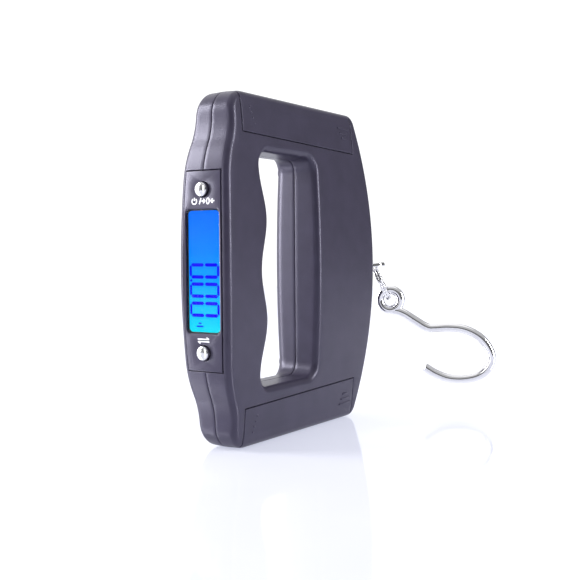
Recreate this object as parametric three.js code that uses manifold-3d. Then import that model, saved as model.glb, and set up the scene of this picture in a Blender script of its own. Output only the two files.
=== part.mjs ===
// Digital luggage scale: a two-shell loop handle standing on one short end, with a display in the grip,
// a battery bay behind a sliding door at each end, and a load cell that carries a swivel eye, a split
// ring and a hook. Millimetres. +Z runs up the body, -X is the hand side, +X the hook side and -Y the
// front with the battery doors. Parts are drawn about the middle of the body; the group at the end
// moves them so that the origin lies on the flat end that the scale stands on.
import * as THREE from 'three';
import { mergeVertices } from 'three/addons/utils/BufferGeometryUtils.js';
import Module from 'manifold-3d';

const wasm = await Module();
wasm.setup();

const degrees = (angle) => THREE.MathUtils.degToRad(angle);

// ---------------------------------------------------------------- driving dimensions
const body = {
  halfLength: 60,
  halfThickness: 10.3,
  crownRadius: 590,
  crownStrips: 8,
  wall: 2.0,
  holeWall: 2.4,
  edgeRadius: 2.5,
  rearHoleRadius: 4.0,
  halfSeam: 0.15,
};
const gap = 0.3;
const handSide = { apex: -50.6, radius: 440, halfSpan: 30 };
const shoulder = { radius: 34, endAngle: degrees(25) };
const neckRadius = 22.7;
const hookSide = { apex: 50.6, radius: 147, cornerRadius: 5 };
const fingerHole = {
  right: 5.5, halfHeight: 40, rightCorner: 5, leftCorner: 4.5,
  gripMean: -27.4, gripWave: 1.7, gripPitch: 35.5,
};
const door = {
  left: -38.6, right: 34.6, innerEdge: 45.3, edgeTaper: -0.024, wall: 1.8,
  tabX: 18, tabWidth: 6, tabReach: 2.4, tabThickness: 1.1,
};
const panel = {
  halfHeight: 32.8, halfWidth: 7.85, thickness: 3.3, lipHeight: 1.5, lipThickness: 1.0, openingDepth: 3.8,
};
const lcdWindow = { front: -50.0, back: -49.4, halfHeight: 20.2, halfWidth: 6.85, corner: 1.25 };
const lcdGlass = { front: -49.1, back: -47.8, halfHeight: 19.9, halfWidth: 6.4 };
const lamp = { front: -47.5, back: -43.0, sides: [-5.9, 3.9] };
const zebra = { sides: [4.3, 5.9], halfHeight: 18 };
const button = { z: 26.7, capRadius: 2.35, holeRadius: 2.65, proud: 1.7, flangeRadius: 3.4 };
const board = { front: -42.4, thickness: 1.2, halfHeight: 31, halfWidth: 6.0 };
const bay = {
  partition: 44.0, partitionThickness: 1.0, left: -26.2, right: 28.0,
  wall: 1.2, frontReach: -4.8, ribEnd: 57.6, batteryZ: 51.2, batteryY: 0.4,
  wireHole: 0.85, wireY: 3.6, wireZ: 50,
};
const marking = {
  proud: 0.25, firstZ: 49.3,
  dots: 4, dotPitch: 1.8, dotX: -31.5, dotSlant: 0.73, dotRadius: 0.45,
  bars: 3, barPitch: 1.9, barX: 28.6, barHalfWidth: 1.8, barGrowth: 1.2, barHalfHeight: 0.35,
};
const battery = { length: 44.5, radius: 5.25, nubRadius: 1.9, nubLength: 1.0 };
const screwPlaces = [[-35, 33], [-35, -33], [11, 36], [11, -36], [39, 39], [39, -39]];
const screw = { headRadius: 2.5, headHeight: 1.8, seatY: 6.5, shankRadius: 1.1, tipY: -5.8 };
const boss = { rearRadius: 3.8, frontRadius: 3.2, clearance: 1.45, pilot: 1.4, counterbore: 2.9 };
const cell = {
  left: 20, right: 32, halfWidth: 5, bottom: -36, top: 9,
  bore: 4, boreCentres: [-20, -12], slotHalf: 1.2, screwZ: [-33, -27.4], bossRadius: 3.6,
};
const eye = {
  z: -0.6, x: 68, outerRadius: 5.2, holeRadius: 3.5, thickness: 1.8, tilt: degrees(-11),
  rodRadius: 2, rodStart: 13.8, rodEnd: 61, neckStart: 59, neckHalfWidth: 2.4,
};
const bush = { start: 46.3, flangeEnd: 47.9, end: 53.5, flangeRadius: 5.4, radius: 4.2, bore: 2.3 };
const ring = { innerRadius: 8.0, outerRadius: 9.5, width: 2.1, chamfer: 0.3, out: 4.9, down: 6.7 };
const hook = {
  wireRadius: 2.0, eyeRadius: 4.45, eyeDrop: 9.75, heading: degrees(26.24), lean: degrees(25.8),
};

// ---------------------------------------------------------------- solids and placing
function toSolid(geometry) {
  const bare = geometry.clone();
  bare.deleteAttribute('normal');
  bare.deleteAttribute('uv');
  const merged = mergeVertices(bare, 1e-4);
  return new wasm.Manifold(new wasm.Mesh({
    numProp: 3,
    vertProperties: new Float32Array(merged.attributes.position.array),
    triVerts: new Uint32Array(merged.index.array),
  }));
}

function toGeometry(solid) {
  const mesh = solid.getMesh();
  const geometry = new THREE.BufferGeometry();
  geometry.setAttribute('position', new THREE.BufferAttribute(mesh.vertProperties, 3));
  geometry.setIndex(new THREE.BufferAttribute(mesh.triVerts, 1));
  geometry.computeVertexNormals();
  return geometry;
}

const xAxis = new THREE.Vector3(1, 0, 0);
const yAxis = new THREE.Vector3(0, 1, 0);
const zAxis = new THREE.Vector3(0, 0, 1);
const unite = (...solids) => wasm.Manifold.union(solids);
const cut = (solid, ...tools) => solid.subtract(unite(...tools));

function box(x, y, z) {
  const geometry = new THREE.BoxGeometry(x[1] - x[0], y[1] - y[0], z[1] - z[0]);
  geometry.translate((x[0] + x[1]) / 2, (y[0] + y[1]) / 2, (z[0] + z[1]) / 2);
  return toSolid(geometry);
}

// A cylinder along one axis, from start to end on that axis, about the point given on the other two.
function cylinder(axis, radius, start, end, [u, v], sides = 20) {
  const geometry = new THREE.CylinderGeometry(radius, radius, end - start, sides);
  geometry.translate(0, (start + end) / 2, 0);
  if (axis === 'x') {
    geometry.rotateZ(-Math.PI / 2);
    geometry.translate(0, u, v);
  } else if (axis === 'y') {
    geometry.translate(u, 0, v);
  } else {
    geometry.rotateX(Math.PI / 2);
    geometry.translate(u, v, 0);
  }
  return toSolid(geometry);
}

// A profile of [radius, height] points turned about the X axis, with height along +X.
function turnedAlongX(points, centre, sides = 24) {
  const geometry = new THREE.LatheGeometry(points.map(([r, h]) => new THREE.Vector2(r, h)), sides);
  geometry.rotateZ(-Math.PI / 2);
  geometry.translate(centre[0], centre[1], centre[2]);
  return geometry;
}

// A rectangle with round corners, drawn in Y and Z and extruded along X.
function roundedPlate(x, halfWidth, halfHeight, radius) {
  const shape = new THREE.Shape();
  const cornerY = halfWidth - radius;
  const cornerZ = halfHeight - radius;
  shape.absarc(cornerY, cornerZ, radius, 0, Math.PI / 2, false);
  shape.absarc(-cornerY, cornerZ, radius, Math.PI / 2, Math.PI, false);
  shape.absarc(-cornerY, -cornerZ, radius, Math.PI, 1.5 * Math.PI, false);
  shape.absarc(cornerY, -cornerZ, radius, 1.5 * Math.PI, 2 * Math.PI, false);
  shape.closePath();
  const geometry = new THREE.ExtrudeGeometry(shape, {
    depth: x[1] - x[0], bevelEnabled: false, curveSegments: 4,
  });
  geometry.applyMatrix4(new THREE.Matrix4().makeBasis(yAxis, zAxis, xAxis));
  geometry.translate(x[0], 0, 0);
  return toSolid(geometry);
}

// A shape drawn in X and Z, extruded along Y.
function extrudedAlongY(shape, y, curveSegments = 3) {
  const geometry = new THREE.ExtrudeGeometry(shape, {
    depth: y[1] - y[0], bevelEnabled: false, curveSegments,
  });
  geometry.rotateX(Math.PI / 2);
  geometry.translate(0, y[1], 0);
  return toSolid(geometry);
}

// ---------------------------------------------------------------- outlines in X and Z
// The arcs of the body outline, worked out from the driving dimensions. Each arc starts where the
// one before it ends, and shares its tangent.
function outlineArcs() {
  const grip = new THREE.Vector2(handSide.apex + handSide.radius, 0);
  const gripAngle = Math.asin(handSide.halfSpan / handSide.radius);
  const away = (angle) => new THREE.Vector2(-Math.cos(angle), Math.sin(angle));
  const shoulderCentre = grip.clone().addScaledVector(away(gripAngle), handSide.radius - shoulder.radius);
  const neckCentre = shoulderCentre.clone()
    .addScaledVector(away(shoulder.endAngle), shoulder.radius + neckRadius);
  const cornerRadius = body.halfLength - neckCentre.y;
  const corner = new THREE.Vector2(neckCentre.x + neckRadius + cornerRadius, neckCentre.y);
  const hookCentre = new THREE.Vector2(hookSide.apex - hookSide.radius, 0);
  const farCornerZ = body.halfLength - hookSide.cornerRadius;
  const farAngle = Math.asin(farCornerZ / (hookSide.radius - hookSide.cornerRadius));
  const farCornerX = hookCentre.x + (hookSide.radius - hookSide.cornerRadius) * Math.cos(farAngle);
  return {
    grip, gripAngle, shoulderCentre, neckCentre, corner, cornerRadius,
    hookCentre, farAngle, farCorner: new THREE.Vector2(farCornerX, farCornerZ),
  };
}
const arcs = outlineArcs();

function bodyOutline(inset = 0) {
  const shape = new THREE.Shape();
  const { grip, gripAngle, shoulderCentre, neckCentre, corner, cornerRadius } = arcs;
  const shoulderRadius = shoulder.radius - inset;
  const neck = neckRadius + inset;
  const cornerR = cornerRadius - inset;
  const farCornerR = hookSide.cornerRadius - inset;
  const end = shoulder.endAngle;
  shape.absarc(corner.x, corner.y, cornerR, Math.PI / 2, Math.PI, false);
  shape.absarc(neckCentre.x, neckCentre.y, neck, 0, -end, true);
  const { x: shoulderX, y: shoulderY } = shoulderCentre;
  shape.absarc(shoulderX, shoulderY, shoulderRadius, Math.PI - end, Math.PI - gripAngle, false);
  shape.absarc(grip.x, grip.y, handSide.radius - inset, Math.PI - gripAngle, Math.PI + gripAngle, false);
  shape.absarc(shoulderX, -shoulderY, shoulderRadius, Math.PI + gripAngle, Math.PI + end, false);
  shape.absarc(neckCentre.x, -neckCentre.y, neck, end, 0, true);
  shape.absarc(corner.x, -corner.y, cornerR, Math.PI, 1.5 * Math.PI, false);
  shape.absarc(arcs.farCorner.x, -arcs.farCorner.y, farCornerR, -Math.PI / 2, -arcs.farAngle, false);
  shape.absarc(arcs.hookCentre.x, 0, hookSide.radius - inset, -arcs.farAngle, arcs.farAngle, false);
  shape.absarc(arcs.farCorner.x, arcs.farCorner.y, farCornerR, arcs.farAngle, Math.PI / 2, false);
  shape.closePath();
  return shape;
}

const gripX = (z) => fingerHole.gripMean
  - fingerHole.gripWave * Math.cos(2 * Math.PI * z / fingerHole.gripPitch);

// The finger hole: three shallow finger grooves on the hand side, a straight wall on the hook side.
function holeOutline(PathClass, grow = 0, grooveSteps = 18) {
  const { right, halfHeight, rightCorner, leftCorner, gripPitch } = fingerHole;
  const path = new PathClass();
  const rightX = right - rightCorner;
  const rightZ = halfHeight - rightCorner;
  const leftX = gripX(gripPitch) + leftCorner;
  path.absarc(rightX, -rightZ, rightCorner + grow, -Math.PI / 2, 0, false);
  path.absarc(rightX, rightZ, rightCorner + grow, 0, Math.PI / 2, false);
  path.absarc(leftX, gripPitch, leftCorner + grow, Math.PI / 2, Math.PI, false);
  for (let i = 1; i < grooveSteps; i++) {
    const z = gripPitch - 2 * gripPitch * i / grooveSteps;
    path.lineTo(gripX(z) - grow, z);
  }
  path.absarc(leftX, -gripPitch, leftCorner + grow, Math.PI, 1.5 * Math.PI, false);
  path.closePath();
  return path;
}

// A slab of an outline about y = 0, with its edges rounded to the given radius.
function roundedSlab(shape, halfDepth, radius) {
  const geometry = new THREE.ExtrudeGeometry(shape, {
    depth: 2 * (halfDepth - radius),
    bevelEnabled: radius > 0,
    bevelThickness: radius,
    bevelSize: radius,
    bevelOffset: -radius,
    bevelSegments: 2,
    curveSegments: 3,
  });
  geometry.translate(0, 0, radius - halfDepth);
  geometry.rotateX(Math.PI / 2);
  return toSolid(geometry);
}

// Both broad faces are crowned: they fall towards the ends as cylinders about an X axis. The slab is
// cut into strips across Z, and each strip's faces are tilted to follow the crown.
function crowned(slab) {
  const strip = 2 * body.halfLength / body.crownStrips;
  const fall = (z) => z * z / (2 * body.crownRadius);
  const micron = 1e3;
  const strips = [];
  for (let i = 0; i < body.crownStrips; i++) {
    const low = -body.halfLength + i * strip;
    const slice = slab.intersect(box([-99, 99], [-30, 30], [low, low + strip]));
    if (slice.isEmpty()) continue;
    const geometry = toGeometry(slice);
    const position = geometry.attributes.position;
    for (let v = 0; v < position.count; v++) {
      const y = position.getY(v);
      const share = (position.getZ(v) - low) / strip;
      const sunk = THREE.MathUtils.lerp(fall(low), fall(low + strip), share);
      position.setY(v, y - Math.sign(y) * sunk);
    }
    position.array.forEach((value, k) => { position.array[k] = Math.round(value * micron) / micron; });
    strips.push(toSolid(geometry));
  }
  return unite(...strips);
}

// ---------------------------------------------------------------- shells and doors
const frontHalf = box([-99, 99], [-30, -body.halfSeam], [-99, 99]);
const rearHalf = box([-99, 99], [body.halfSeam, 30], [-99, 99]);

function outerFront() {
  const shape = bodyOutline();
  shape.holes.push(holeOutline(THREE.Path));
  return crowned(roundedSlab(shape, body.halfThickness, body.edgeRadius)).intersect(frontHalf);
}

function outerRear() {
  const frame = new THREE.Shape();
  frame.moveTo(-80, -80).lineTo(80, -80).lineTo(80, 80).lineTo(-80, 80).closePath();
  frame.holes.push(holeOutline(THREE.Path));
  const flaredHole = roundedSlab(frame, body.halfThickness, body.rearHoleRadius);
  const slab = roundedSlab(bodyOutline(), body.halfThickness, body.edgeRadius);
  return crowned(slab.intersect(flaredHole)).intersect(rearHalf);
}

function cavity(wall, holeWall) {
  const shape = bodyOutline(wall);
  shape.holes.push(holeOutline(THREE.Path, holeWall));
  return crowned(roundedSlab(shape, body.halfThickness - wall, 0));
}

const shellCavity = cavity(body.wall, body.holeWall);
const outerFrontSolid = outerFront();
const outerRearSolid = outerRear();
const wholeOutside = unite(outerFrontSolid, outerRearSolid);

// The column that a door takes up at one end (end is +1 or -1), grown by a margin on its three sides.
function doorRegion(end, margin) {
  const inner = (x) => end * (door.innerEdge - margin + door.edgeTaper * x);
  const left = door.left - margin;
  const right = door.right + margin;
  const outer = end * (body.halfLength + 5);
  const shape = new THREE.Shape();
  shape.moveTo(left, inner(left)).lineTo(right, inner(right)).lineTo(right, outer).lineTo(left, outer);
  shape.closePath();
  return extrudedAlongY(shape, [-30, 0]);
}

// A column at the hand side whose side faces follow the crown, so that they run parallel to the body's
// edges. Its half-width is measured at mid-height.
function handColumn(depth, halfWidth, halfHeight) {
  const back = handSide.apex + depth;
  return crowned(box([-60, back], [-halfWidth, halfWidth], [-halfHeight, halfHeight]));
}

// The opening in both shells for the display panel.
const panelOpening = () => handColumn(panel.openingDepth, panel.halfWidth + gap, panel.halfHeight + gap);

const bushHole = () => cylinder('x', bush.radius + gap, 44, 60, [0, eye.z]);

function frontShell() {
  const bosses = screwPlaces.map((place) => cylinder('y', boss.frontRadius, -9.5, -body.halfSeam, place, 14));
  const held = unite(...bosses).intersect(outerFrontSolid);
  const pilots = screwPlaces.map((place) => cylinder('y', boss.pilot, screw.tipY - gap, 5, place, 10));
  const shell = unite(cut(outerFrontSolid, shellCavity), held);
  return cut(shell, doorRegion(1, gap), doorRegion(-1, gap), panelOpening(), bushHole(), ...pilots);
}

// The ribs that close a battery bay off from the rest of the body, with a wire hole in each side rib.
function bayRibs(end) {
  const span = (from, to) => [end * from, end * to].sort((a, b) => a - b);
  const inner = span(bay.partition, bay.partition + bay.partitionThickness);
  const leftRib = [bay.left - bay.wall, bay.left];
  const rightRib = [bay.right, bay.right + bay.wall];
  const acrossFront = [bay.frontReach, 1];
  const acrossRear = [0.5, 9];
  const ribs = unite(
    box([leftRib[0], rightRib[1]], [bay.frontReach, 9], inner),
    ...[leftRib, rightRib].flatMap((x) => [
      box(x, acrossFront, span(bay.partition, bay.ribEnd)),
      box(x, acrossRear, span(bay.partition, body.halfLength - 1)),
    ]),
  );
  return cut(ribs, cylinder('x', bay.wireHole, -40, 40, [bay.wireY, end * bay.wireZ], 10));
}

function rearShell() {
  const bosses = screwPlaces.map((place) => cylinder('y', boss.rearRadius, body.halfSeam, 9.5, place, 16));
  const cellX = (cell.left + cell.right) / 2;
  const cellBosses = cell.screwZ.map((z) => (
    cylinder('y', cell.bossRadius, cell.halfWidth + gap, 9.5, [cellX, z], 14)
  ));
  const inside = unite(bayRibs(1), bayRibs(-1)).intersect(cavity(body.wall - 0.2, body.holeWall - 0.2));
  const held = unite(...bosses, ...cellBosses).intersect(outerRearSolid);
  const shell = unite(cut(outerRearSolid, shellCavity), held, inside);
  const drilled = screwPlaces.flatMap(([x, z]) => [
    cylinder('y', boss.clearance, -1, 12, [x, z], 12),
    cylinder('y', boss.counterbore, screw.seatY, 12, [x, z], 18),
  ]);
  const cellPilots = cell.screwZ.map((z) => cylinder('y', boss.pilot, 0, 7.9, [cellX, z], 10));
  return cut(shell, panelOpening(), bushHole(), ...drilled, ...cellPilots);
}

// Raised marks on a door: a slanted row of dots by one end and a widening stack of bars by the other.
function doorMarks(end) {
  const faceY = (z) => -(body.halfThickness - z * z / (2 * body.crownRadius));
  const marks = [];
  for (let i = 0; i < marking.dots; i++) {
    const z = marking.firstZ + i * marking.dotPitch;
    const x = marking.dotX - i * marking.dotSlant;
    marks.push(cylinder('y', marking.dotRadius, faceY(z) - marking.proud, faceY(z) + 1, [x, end * z], 8));
  }
  for (let i = 0; i < marking.bars; i++) {
    const z = marking.firstZ + marking.barPitch * (i + 0.3);
    const halfWidth = marking.barHalfWidth + i * marking.barGrowth;
    const xs = [marking.barX - halfWidth, marking.barX + halfWidth];
    const zs = [end * z - marking.barHalfHeight, end * z + marking.barHalfHeight];
    marks.push(box(xs, [faceY(z) - marking.proud, faceY(z) + 1], zs));
  }
  return unite(...marks);
}

function batteryDoor(end) {
  const skin = cut(outerFrontSolid.intersect(doorRegion(end, 0)), cavity(door.wall, door.wall));
  const inner = body.halfThickness - door.innerEdge ** 2 / (2 * body.crownRadius) - door.wall;
  const tabFront = -(inner - 0.5);
  const tabs = [-door.tabX, door.tabX].map((x) => {
    const edge = door.innerEdge + door.edgeTaper * x;
    const xs = [x - door.tabWidth / 2, x + door.tabWidth / 2];
    const reach = [end * (edge - door.tabReach), end * (edge + 2)].sort((a, b) => a - b);
    const root = [end * (edge + 0.6), end * (edge + 2)].sort((a, b) => a - b);
    return unite(
      box(xs, [tabFront, tabFront + door.tabThickness], reach),
      box(xs, [-inner - 0.3, tabFront + door.tabThickness], root),
    );
  });
  return unite(skin, doorMarks(end), ...tabs);
}

// ---------------------------------------------------------------- display, board and buttons
// A plate that follows the hand side of the outline, from depthA to depthB under its surface.
function gripPlate(depthA, depthB, halfHeight) {
  const outside = extrudedAlongY(bodyOutline(depthA), [-20, 20]);
  const inside = extrudedAlongY(bodyOutline(depthB), [-20, 20]);
  return cut(outside, inside).intersect(handColumn(panel.openingDepth, panel.halfWidth, halfHeight));
}

function displayPanel() {
  const { halfHeight, thickness, lipHeight, lipThickness } = panel;
  const face = gripPlate(0, thickness, halfHeight);
  const lip = gripPlate(thickness - lipThickness, thickness, halfHeight + lipHeight);
  const around = 0.25;
  const window = roundedPlate(
    [-60, -40], lcdWindow.halfWidth + around, lcdWindow.halfHeight + around, lcdWindow.corner + around,
  );
  const holes = [-1, 1].map((side) => cylinder('x', button.holeRadius, -60, -40, [0, side * button.z], 24));
  return cut(unite(face, lip), window, ...holes);
}

// The X of the hand side's surface at height z, or of a point at some depth under it.
const surfaceX = (z, depth = 0) => arcs.grip.x - Math.sqrt((handSide.radius - depth) ** 2 - z * z);

const lcdWindowPane = () => roundedPlate(
  [lcdWindow.front, lcdWindow.back], lcdWindow.halfWidth, lcdWindow.halfHeight, lcdWindow.corner,
);

// A push button turned about X: a domed cap, a stem through the panel and a flange that keeps it in.
function pushButton(side) {
  const seat = surfaceX(button.z);
  const inside = surfaceX(button.z, panel.thickness) - seat;
  const flange = [inside + 0.5, inside + 1.2];
  const dome = [];
  const domeSteps = 5;
  const domeHeight = 0.75;
  for (let i = 0; i <= domeSteps; i++) {
    const a = (Math.PI / 2) * i / domeSteps;
    dome.push([button.capRadius * Math.sin(a), -button.proud + domeHeight * (1 - Math.cos(a))]);
  }
  const profile = [
    ...dome,
    [button.capRadius, flange[0]],
    [button.flangeRadius, flange[0]],
    [button.flangeRadius, flange[1]],
    [0, flange[1]],
  ];
  return turnedAlongX(profile, [seat, 0, side * button.z], 18);
}

const switchTop = -44.3;
const plunger = { radius: 1.0, top: -45.05, bottom: -43.45, bore: 1.3, boreBottom: -42.95 };

function tactSwitch(side) {
  const z = side * button.z;
  const can = box([switchTop, board.front - gap], [-2.6, 2.6], [z - 2.6, z + 2.6]);
  return cut(can, cylinder('x', plunger.bore, -46, plunger.boreBottom, [0, z], 14));
}

const switchPlunger = (side) => (
  cylinder('x', plunger.radius, plunger.top, plunger.bottom, [0, side * button.z], 14)
);

// ---------------------------------------------------------------- batteries and contacts
// The upper cell points its raised terminal at the hand side. The lower bay is the same bay turned end
// for end, so that the two cells sit in series.
const bayMiddle = (bay.left + bay.right) / 2;
const alongBay = (end, x) => (end > 0 ? x : 2 * bayMiddle - x);

function turnForBay(end, geometry) {
  if (end > 0) return geometry;
  geometry.translate(-bayMiddle, 0, 0);
  geometry.rotateY(Math.PI);
  geometry.translate(bayMiddle, 0, 0);
  return geometry;
}

// A round cell along X with its raised terminal.
function batteryBody(end) {
  const { length, radius, nubRadius, nubLength } = battery;
  const round = 0.6;
  const profile = [
    [0, 0], [nubRadius, 0], [nubRadius, nubLength],
    [radius - round, nubLength], [radius, nubLength + round],
    [radius, length - round], [radius - round, length], [0, length],
  ];
  return turnForBay(end, turnedAlongX(profile, [bay.left + 1.1, bay.batteryY, bay.batteryZ], 20));
}

function bayPlate(end, x) {
  const places = [alongBay(end, x[0]), alongBay(end, x[1])].sort((a, b) => a - b);
  const z = end * bay.batteryZ;
  return box(places, [-4, 5], [z - 4.2, z + 4.2]);
}

const contactPlate = (end) => bayPlate(end, [bay.left + gap, bay.left + gap + 0.5]);
const springPlate = (end) => bayPlate(end, [bay.right - gap - 0.5, bay.right - gap]);

// A conical battery spring: its wide coil by the plate and its narrow one by the cell.
function batterySpring(end) {
  class Coil extends THREE.Curve {
    getPoint(t, target = new THREE.Vector3()) {
      const angle = 2 * Math.PI * 4 * t;
      const radius = THREE.MathUtils.lerp(3.5, 1.8, t);
      return target.set(
        THREE.MathUtils.lerp(26.5, 20.2, t),
        bay.batteryY + radius * Math.cos(angle),
        bay.batteryZ + radius * Math.sin(angle),
      );
    }
  }
  const section = new THREE.Shape();
  section.absarc(0, 0, 0.35, 0, 2 * Math.PI, false);
  const geometry = new THREE.ExtrudeGeometry(section, {
    steps: 40, curveSegments: 2, extrudePath: new Coil(),
  });
  return turnForBay(end, geometry);
}

// ---------------------------------------------------------------- load cell, eye, ring and hook
function loadCell() {
  const { left, right, halfWidth, bottom, top, bore, boreCentres, slotHalf } = cell;
  const middle = (left + right) / 2;
  const block = box([left, right], [-halfWidth, halfWidth], [bottom, top]);
  const bores = boreCentres.map((z) => cylinder('y', bore, -9, 9, [middle, z], 20));
  const slot = box([middle - slotHalf, middle + slotHalf], [-9, 9], boreCentres);
  const rodHole = cylinder('x', eye.rodRadius + gap, 10, 40, [0, eye.z], 16);
  const screwHoles = cell.screwZ.map((z) => cylinder('y', 1.8, -9, 9, [middle, z], 12));
  return cut(block, ...bores, slot, rodHole, ...screwHoles);
}

function strainGauge(side) {
  const x = side < 0 ? [cell.left - 0.45, cell.left - 0.2] : [cell.right + 0.2, cell.right + 0.45];
  return box(x, [-1.8, 1.8], [-19, -13]);
}

// A pan-head screw along Y, with its head towards headSide of seatY and its tip at tipY.
function panScrew(x, z, seatY, tipY, headSide, headRadius, headHeight, shankRadius) {
  const height = Math.abs(seatY - tipY);
  const profile = [
    [0, -headHeight], [headRadius * 0.7, -headHeight], [headRadius, -headHeight * 0.55], [headRadius, 0],
    [shankRadius, 0], [shankRadius, height - 1], [0, height],
  ];
  const geometry = new THREE.LatheGeometry(profile.map(([r, h]) => new THREE.Vector2(r, h)), 12);
  if (headSide > 0) geometry.rotateX(Math.PI);
  geometry.translate(x, seatY, z);
  const recessDepth = 0.9;
  const top = seatY + headSide * headHeight;
  const deep = [top - headSide * recessDepth, top + headSide].sort((a, b) => a - b);
  const arm = headRadius * 0.55;
  const blade = 0.3;
  const cross = unite(
    box([x - arm, x + arm], deep, [z - blade, z + blade]),
    box([x - blade, x + blade], deep, [z - arm, z + arm]),
  );
  return cut(toSolid(geometry), cross);
}

function hookBush() {
  const profile = [
    [bush.bore, 0], [bush.flangeRadius, 0], [bush.flangeRadius, bush.flangeEnd - bush.start],
    [bush.radius, bush.flangeEnd - bush.start], [bush.radius, bush.end - bush.start],
    [bush.bore, bush.end - bush.start], [bush.bore, 0],
  ];
  return turnedAlongX(profile, [bush.start, 0, eye.z], 24);
}

// The swivel eye: a rod that ends in a flat eye. Drawn with its hole upright, then turned about its rod.
function swivelEye() {
  const half = eye.thickness / 2;
  const rod = cylinder('x', eye.rodRadius, eye.rodStart, eye.rodEnd, [0, 0], 16);
  const neck = box([eye.neckStart, eye.x - 4.2], [-eye.neckHalfWidth, eye.neckHalfWidth], [-half, half]);
  const disc = cylinder('z', eye.outerRadius, -half, half, [eye.x, 0], 32);
  const hole = cylinder('z', eye.holeRadius, -9, 9, [eye.x, 0], 28);
  const geometry = toGeometry(cut(unite(rod, neck, disc), hole));
  geometry.rotateX(eye.tilt);
  geometry.translate(0, 0, eye.z);
  return geometry;
}

const eyeWasher = () => cut(
  cylinder('x', 4.4, 18.8, 19.7, [0, eye.z], 20),
  cylinder('x', eye.rodRadius + gap, 10, 40, [0, eye.z], 16),
);

const eyeNut = () => cut(
  cylinder('x', 4.0, 15.2, 18.4, [0, eye.z], 6),
  cylinder('x', eye.rodRadius + gap, 10, 40, [0, eye.z], 16),
);

// The hanging frame: out points along the ring's plane away from the body, side across it, and down
// is the ring's own leaning downward direction.
const out = new THREE.Vector3(Math.cos(hook.heading), Math.sin(hook.heading), 0);
const side = new THREE.Vector3(Math.sin(hook.heading), -Math.cos(hook.heading), 0);
const down = side.clone().multiplyScalar(Math.sin(hook.lean));
down.z = -Math.cos(hook.lean);
const eyeCentre = new THREE.Vector3(eye.x, 0, eye.z);
const ringCentre = eyeCentre.clone().addScaledVector(out, ring.out).addScaledVector(down, ring.down);
const hookEyeCentre = ringCentre.clone().addScaledVector(down, hook.eyeDrop);

function splitRing() {
  const { innerRadius, outerRadius, width, chamfer } = ring;
  const half = width / 2;
  const profile = [
    [innerRadius, -half + chamfer], [innerRadius + chamfer, -half], [outerRadius - chamfer, -half],
    [outerRadius, -half + chamfer], [outerRadius, half - chamfer], [outerRadius - chamfer, half],
    [innerRadius + chamfer, half], [innerRadius, half - chamfer], [innerRadius, -half + chamfer],
  ];
  const geometry = new THREE.LatheGeometry(profile.map(([r, h]) => new THREE.Vector2(r, h)), 36);
  const axis = new THREE.Vector3().crossVectors(out, down);
  const third = new THREE.Vector3().crossVectors(out, axis);
  geometry.applyMatrix4(new THREE.Matrix4().makeBasis(out, axis, third));
  geometry.translate(ringCentre.x, ringCentre.y, ringCentre.z);
  return geometry;
}

// The hook's wire in its own plane, from the eye's centre: across to the side and up. It leaves the
// bottom of the eye, drops to a bend, runs level and curls round into an open bowl.
const hookRoute = [
  [-0.4, -4.43], [3.2, -4.9], [6.2, -6.1], [10.8, -9.0], [15.0, -11.6], [17.0, -12.35], [19.2, -12.35],
  [25.0, -12.05], [32.0, -12.9], [38.4, -16.2], [42.2, -20.9], [43.5, -25.4], [42.0, -29.7], [38.2, -32.9],
  [31.6, -34.5], [25.0, -34.2], [19.4, -32.1], [14.8, -29.3],
];

function hookSolid() {
  const place = ([u, v]) => hookEyeCentre.clone().addScaledVector(side, u).add(new THREE.Vector3(0, 0, v));
  const path = new THREE.CatmullRomCurve3(hookRoute.map(place), false, 'centripetal');
  const section = new THREE.Shape();
  section.absarc(0, 0, hook.wireRadius, 0, 2 * Math.PI, false);
  const wire = new THREE.ExtrudeGeometry(section, { steps: 40, curveSegments: 5, extrudePath: path });
  const loop = new THREE.TorusGeometry(hook.eyeRadius, hook.wireRadius, 10, 26);
  loop.applyMatrix4(new THREE.Matrix4().makeBasis(side, new THREE.Vector3(0, 0, 1), out.clone().negate()));
  loop.translate(hookEyeCentre.x, hookEyeCentre.y, hookEyeCentre.z);
  return unite(toSolid(wire), toSolid(loop));
}

// ---------------------------------------------------------------- wiring inside the handle
function wire(points, radius, steps) {
  const path = new THREE.CatmullRomCurve3(points.map((p) => new THREE.Vector3(...p)), false, 'centripetal');
  const section = new THREE.Shape();
  section.absarc(0, 0, radius, 0, 2 * Math.PI, false);
  return new THREE.ExtrudeGeometry(section, { steps, curveSegments: 3, extrudePath: path });
}

// From the load cell's inner gauge down, along the channel under the finger hole, to the board.
const cellCable = () => wire([
  [18.9, 0, -19], [17.6, 0, -26], [17.5, 0, -36], [15, -1, -41.4], [10.5, -1, -42.9], [0, -1, -43.2],
  [-14, -1, -43.2], [-27, -1, -43.1], [-36, 0, -41.8], [-40, 1, -38], [-40, 1, -32], [-40.3, 1, -26],
], 0.55, 34);

// From a bay's hand-side contact, through its rib, round the bosses and up to the board.
const batteryLead = (end) => wire([
  [-26.15, bay.wireY, end * bay.wireZ], [-28.5, bay.wireY, end * bay.wireZ], [-32.5, 3.4, end * 48.6],
  [-37, 3.2, end * 43.6], [-40, 3, end * 38], [-40, 3, end * 32], [-40.3, 3, end * 22],
], 0.55, 24);

// From the upper bay's hook-side contact, behind the load cell and the rod, to the lower one.
const linkWire = () => wire([
  [27.95, bay.wireY, bay.wireZ], [30.2, bay.wireY, bay.wireZ], [33.2, 4, 46], [34, 4.5, 38],
  [35, 5.4, 20], [36, 6, 0], [35, 5.4, -20], [34, 4.5, -38], [33.2, 4, -46],
  [30.2, bay.wireY, -bay.wireZ], [27.95, bay.wireY, -bay.wireZ],
], 0.55, 32);

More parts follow.
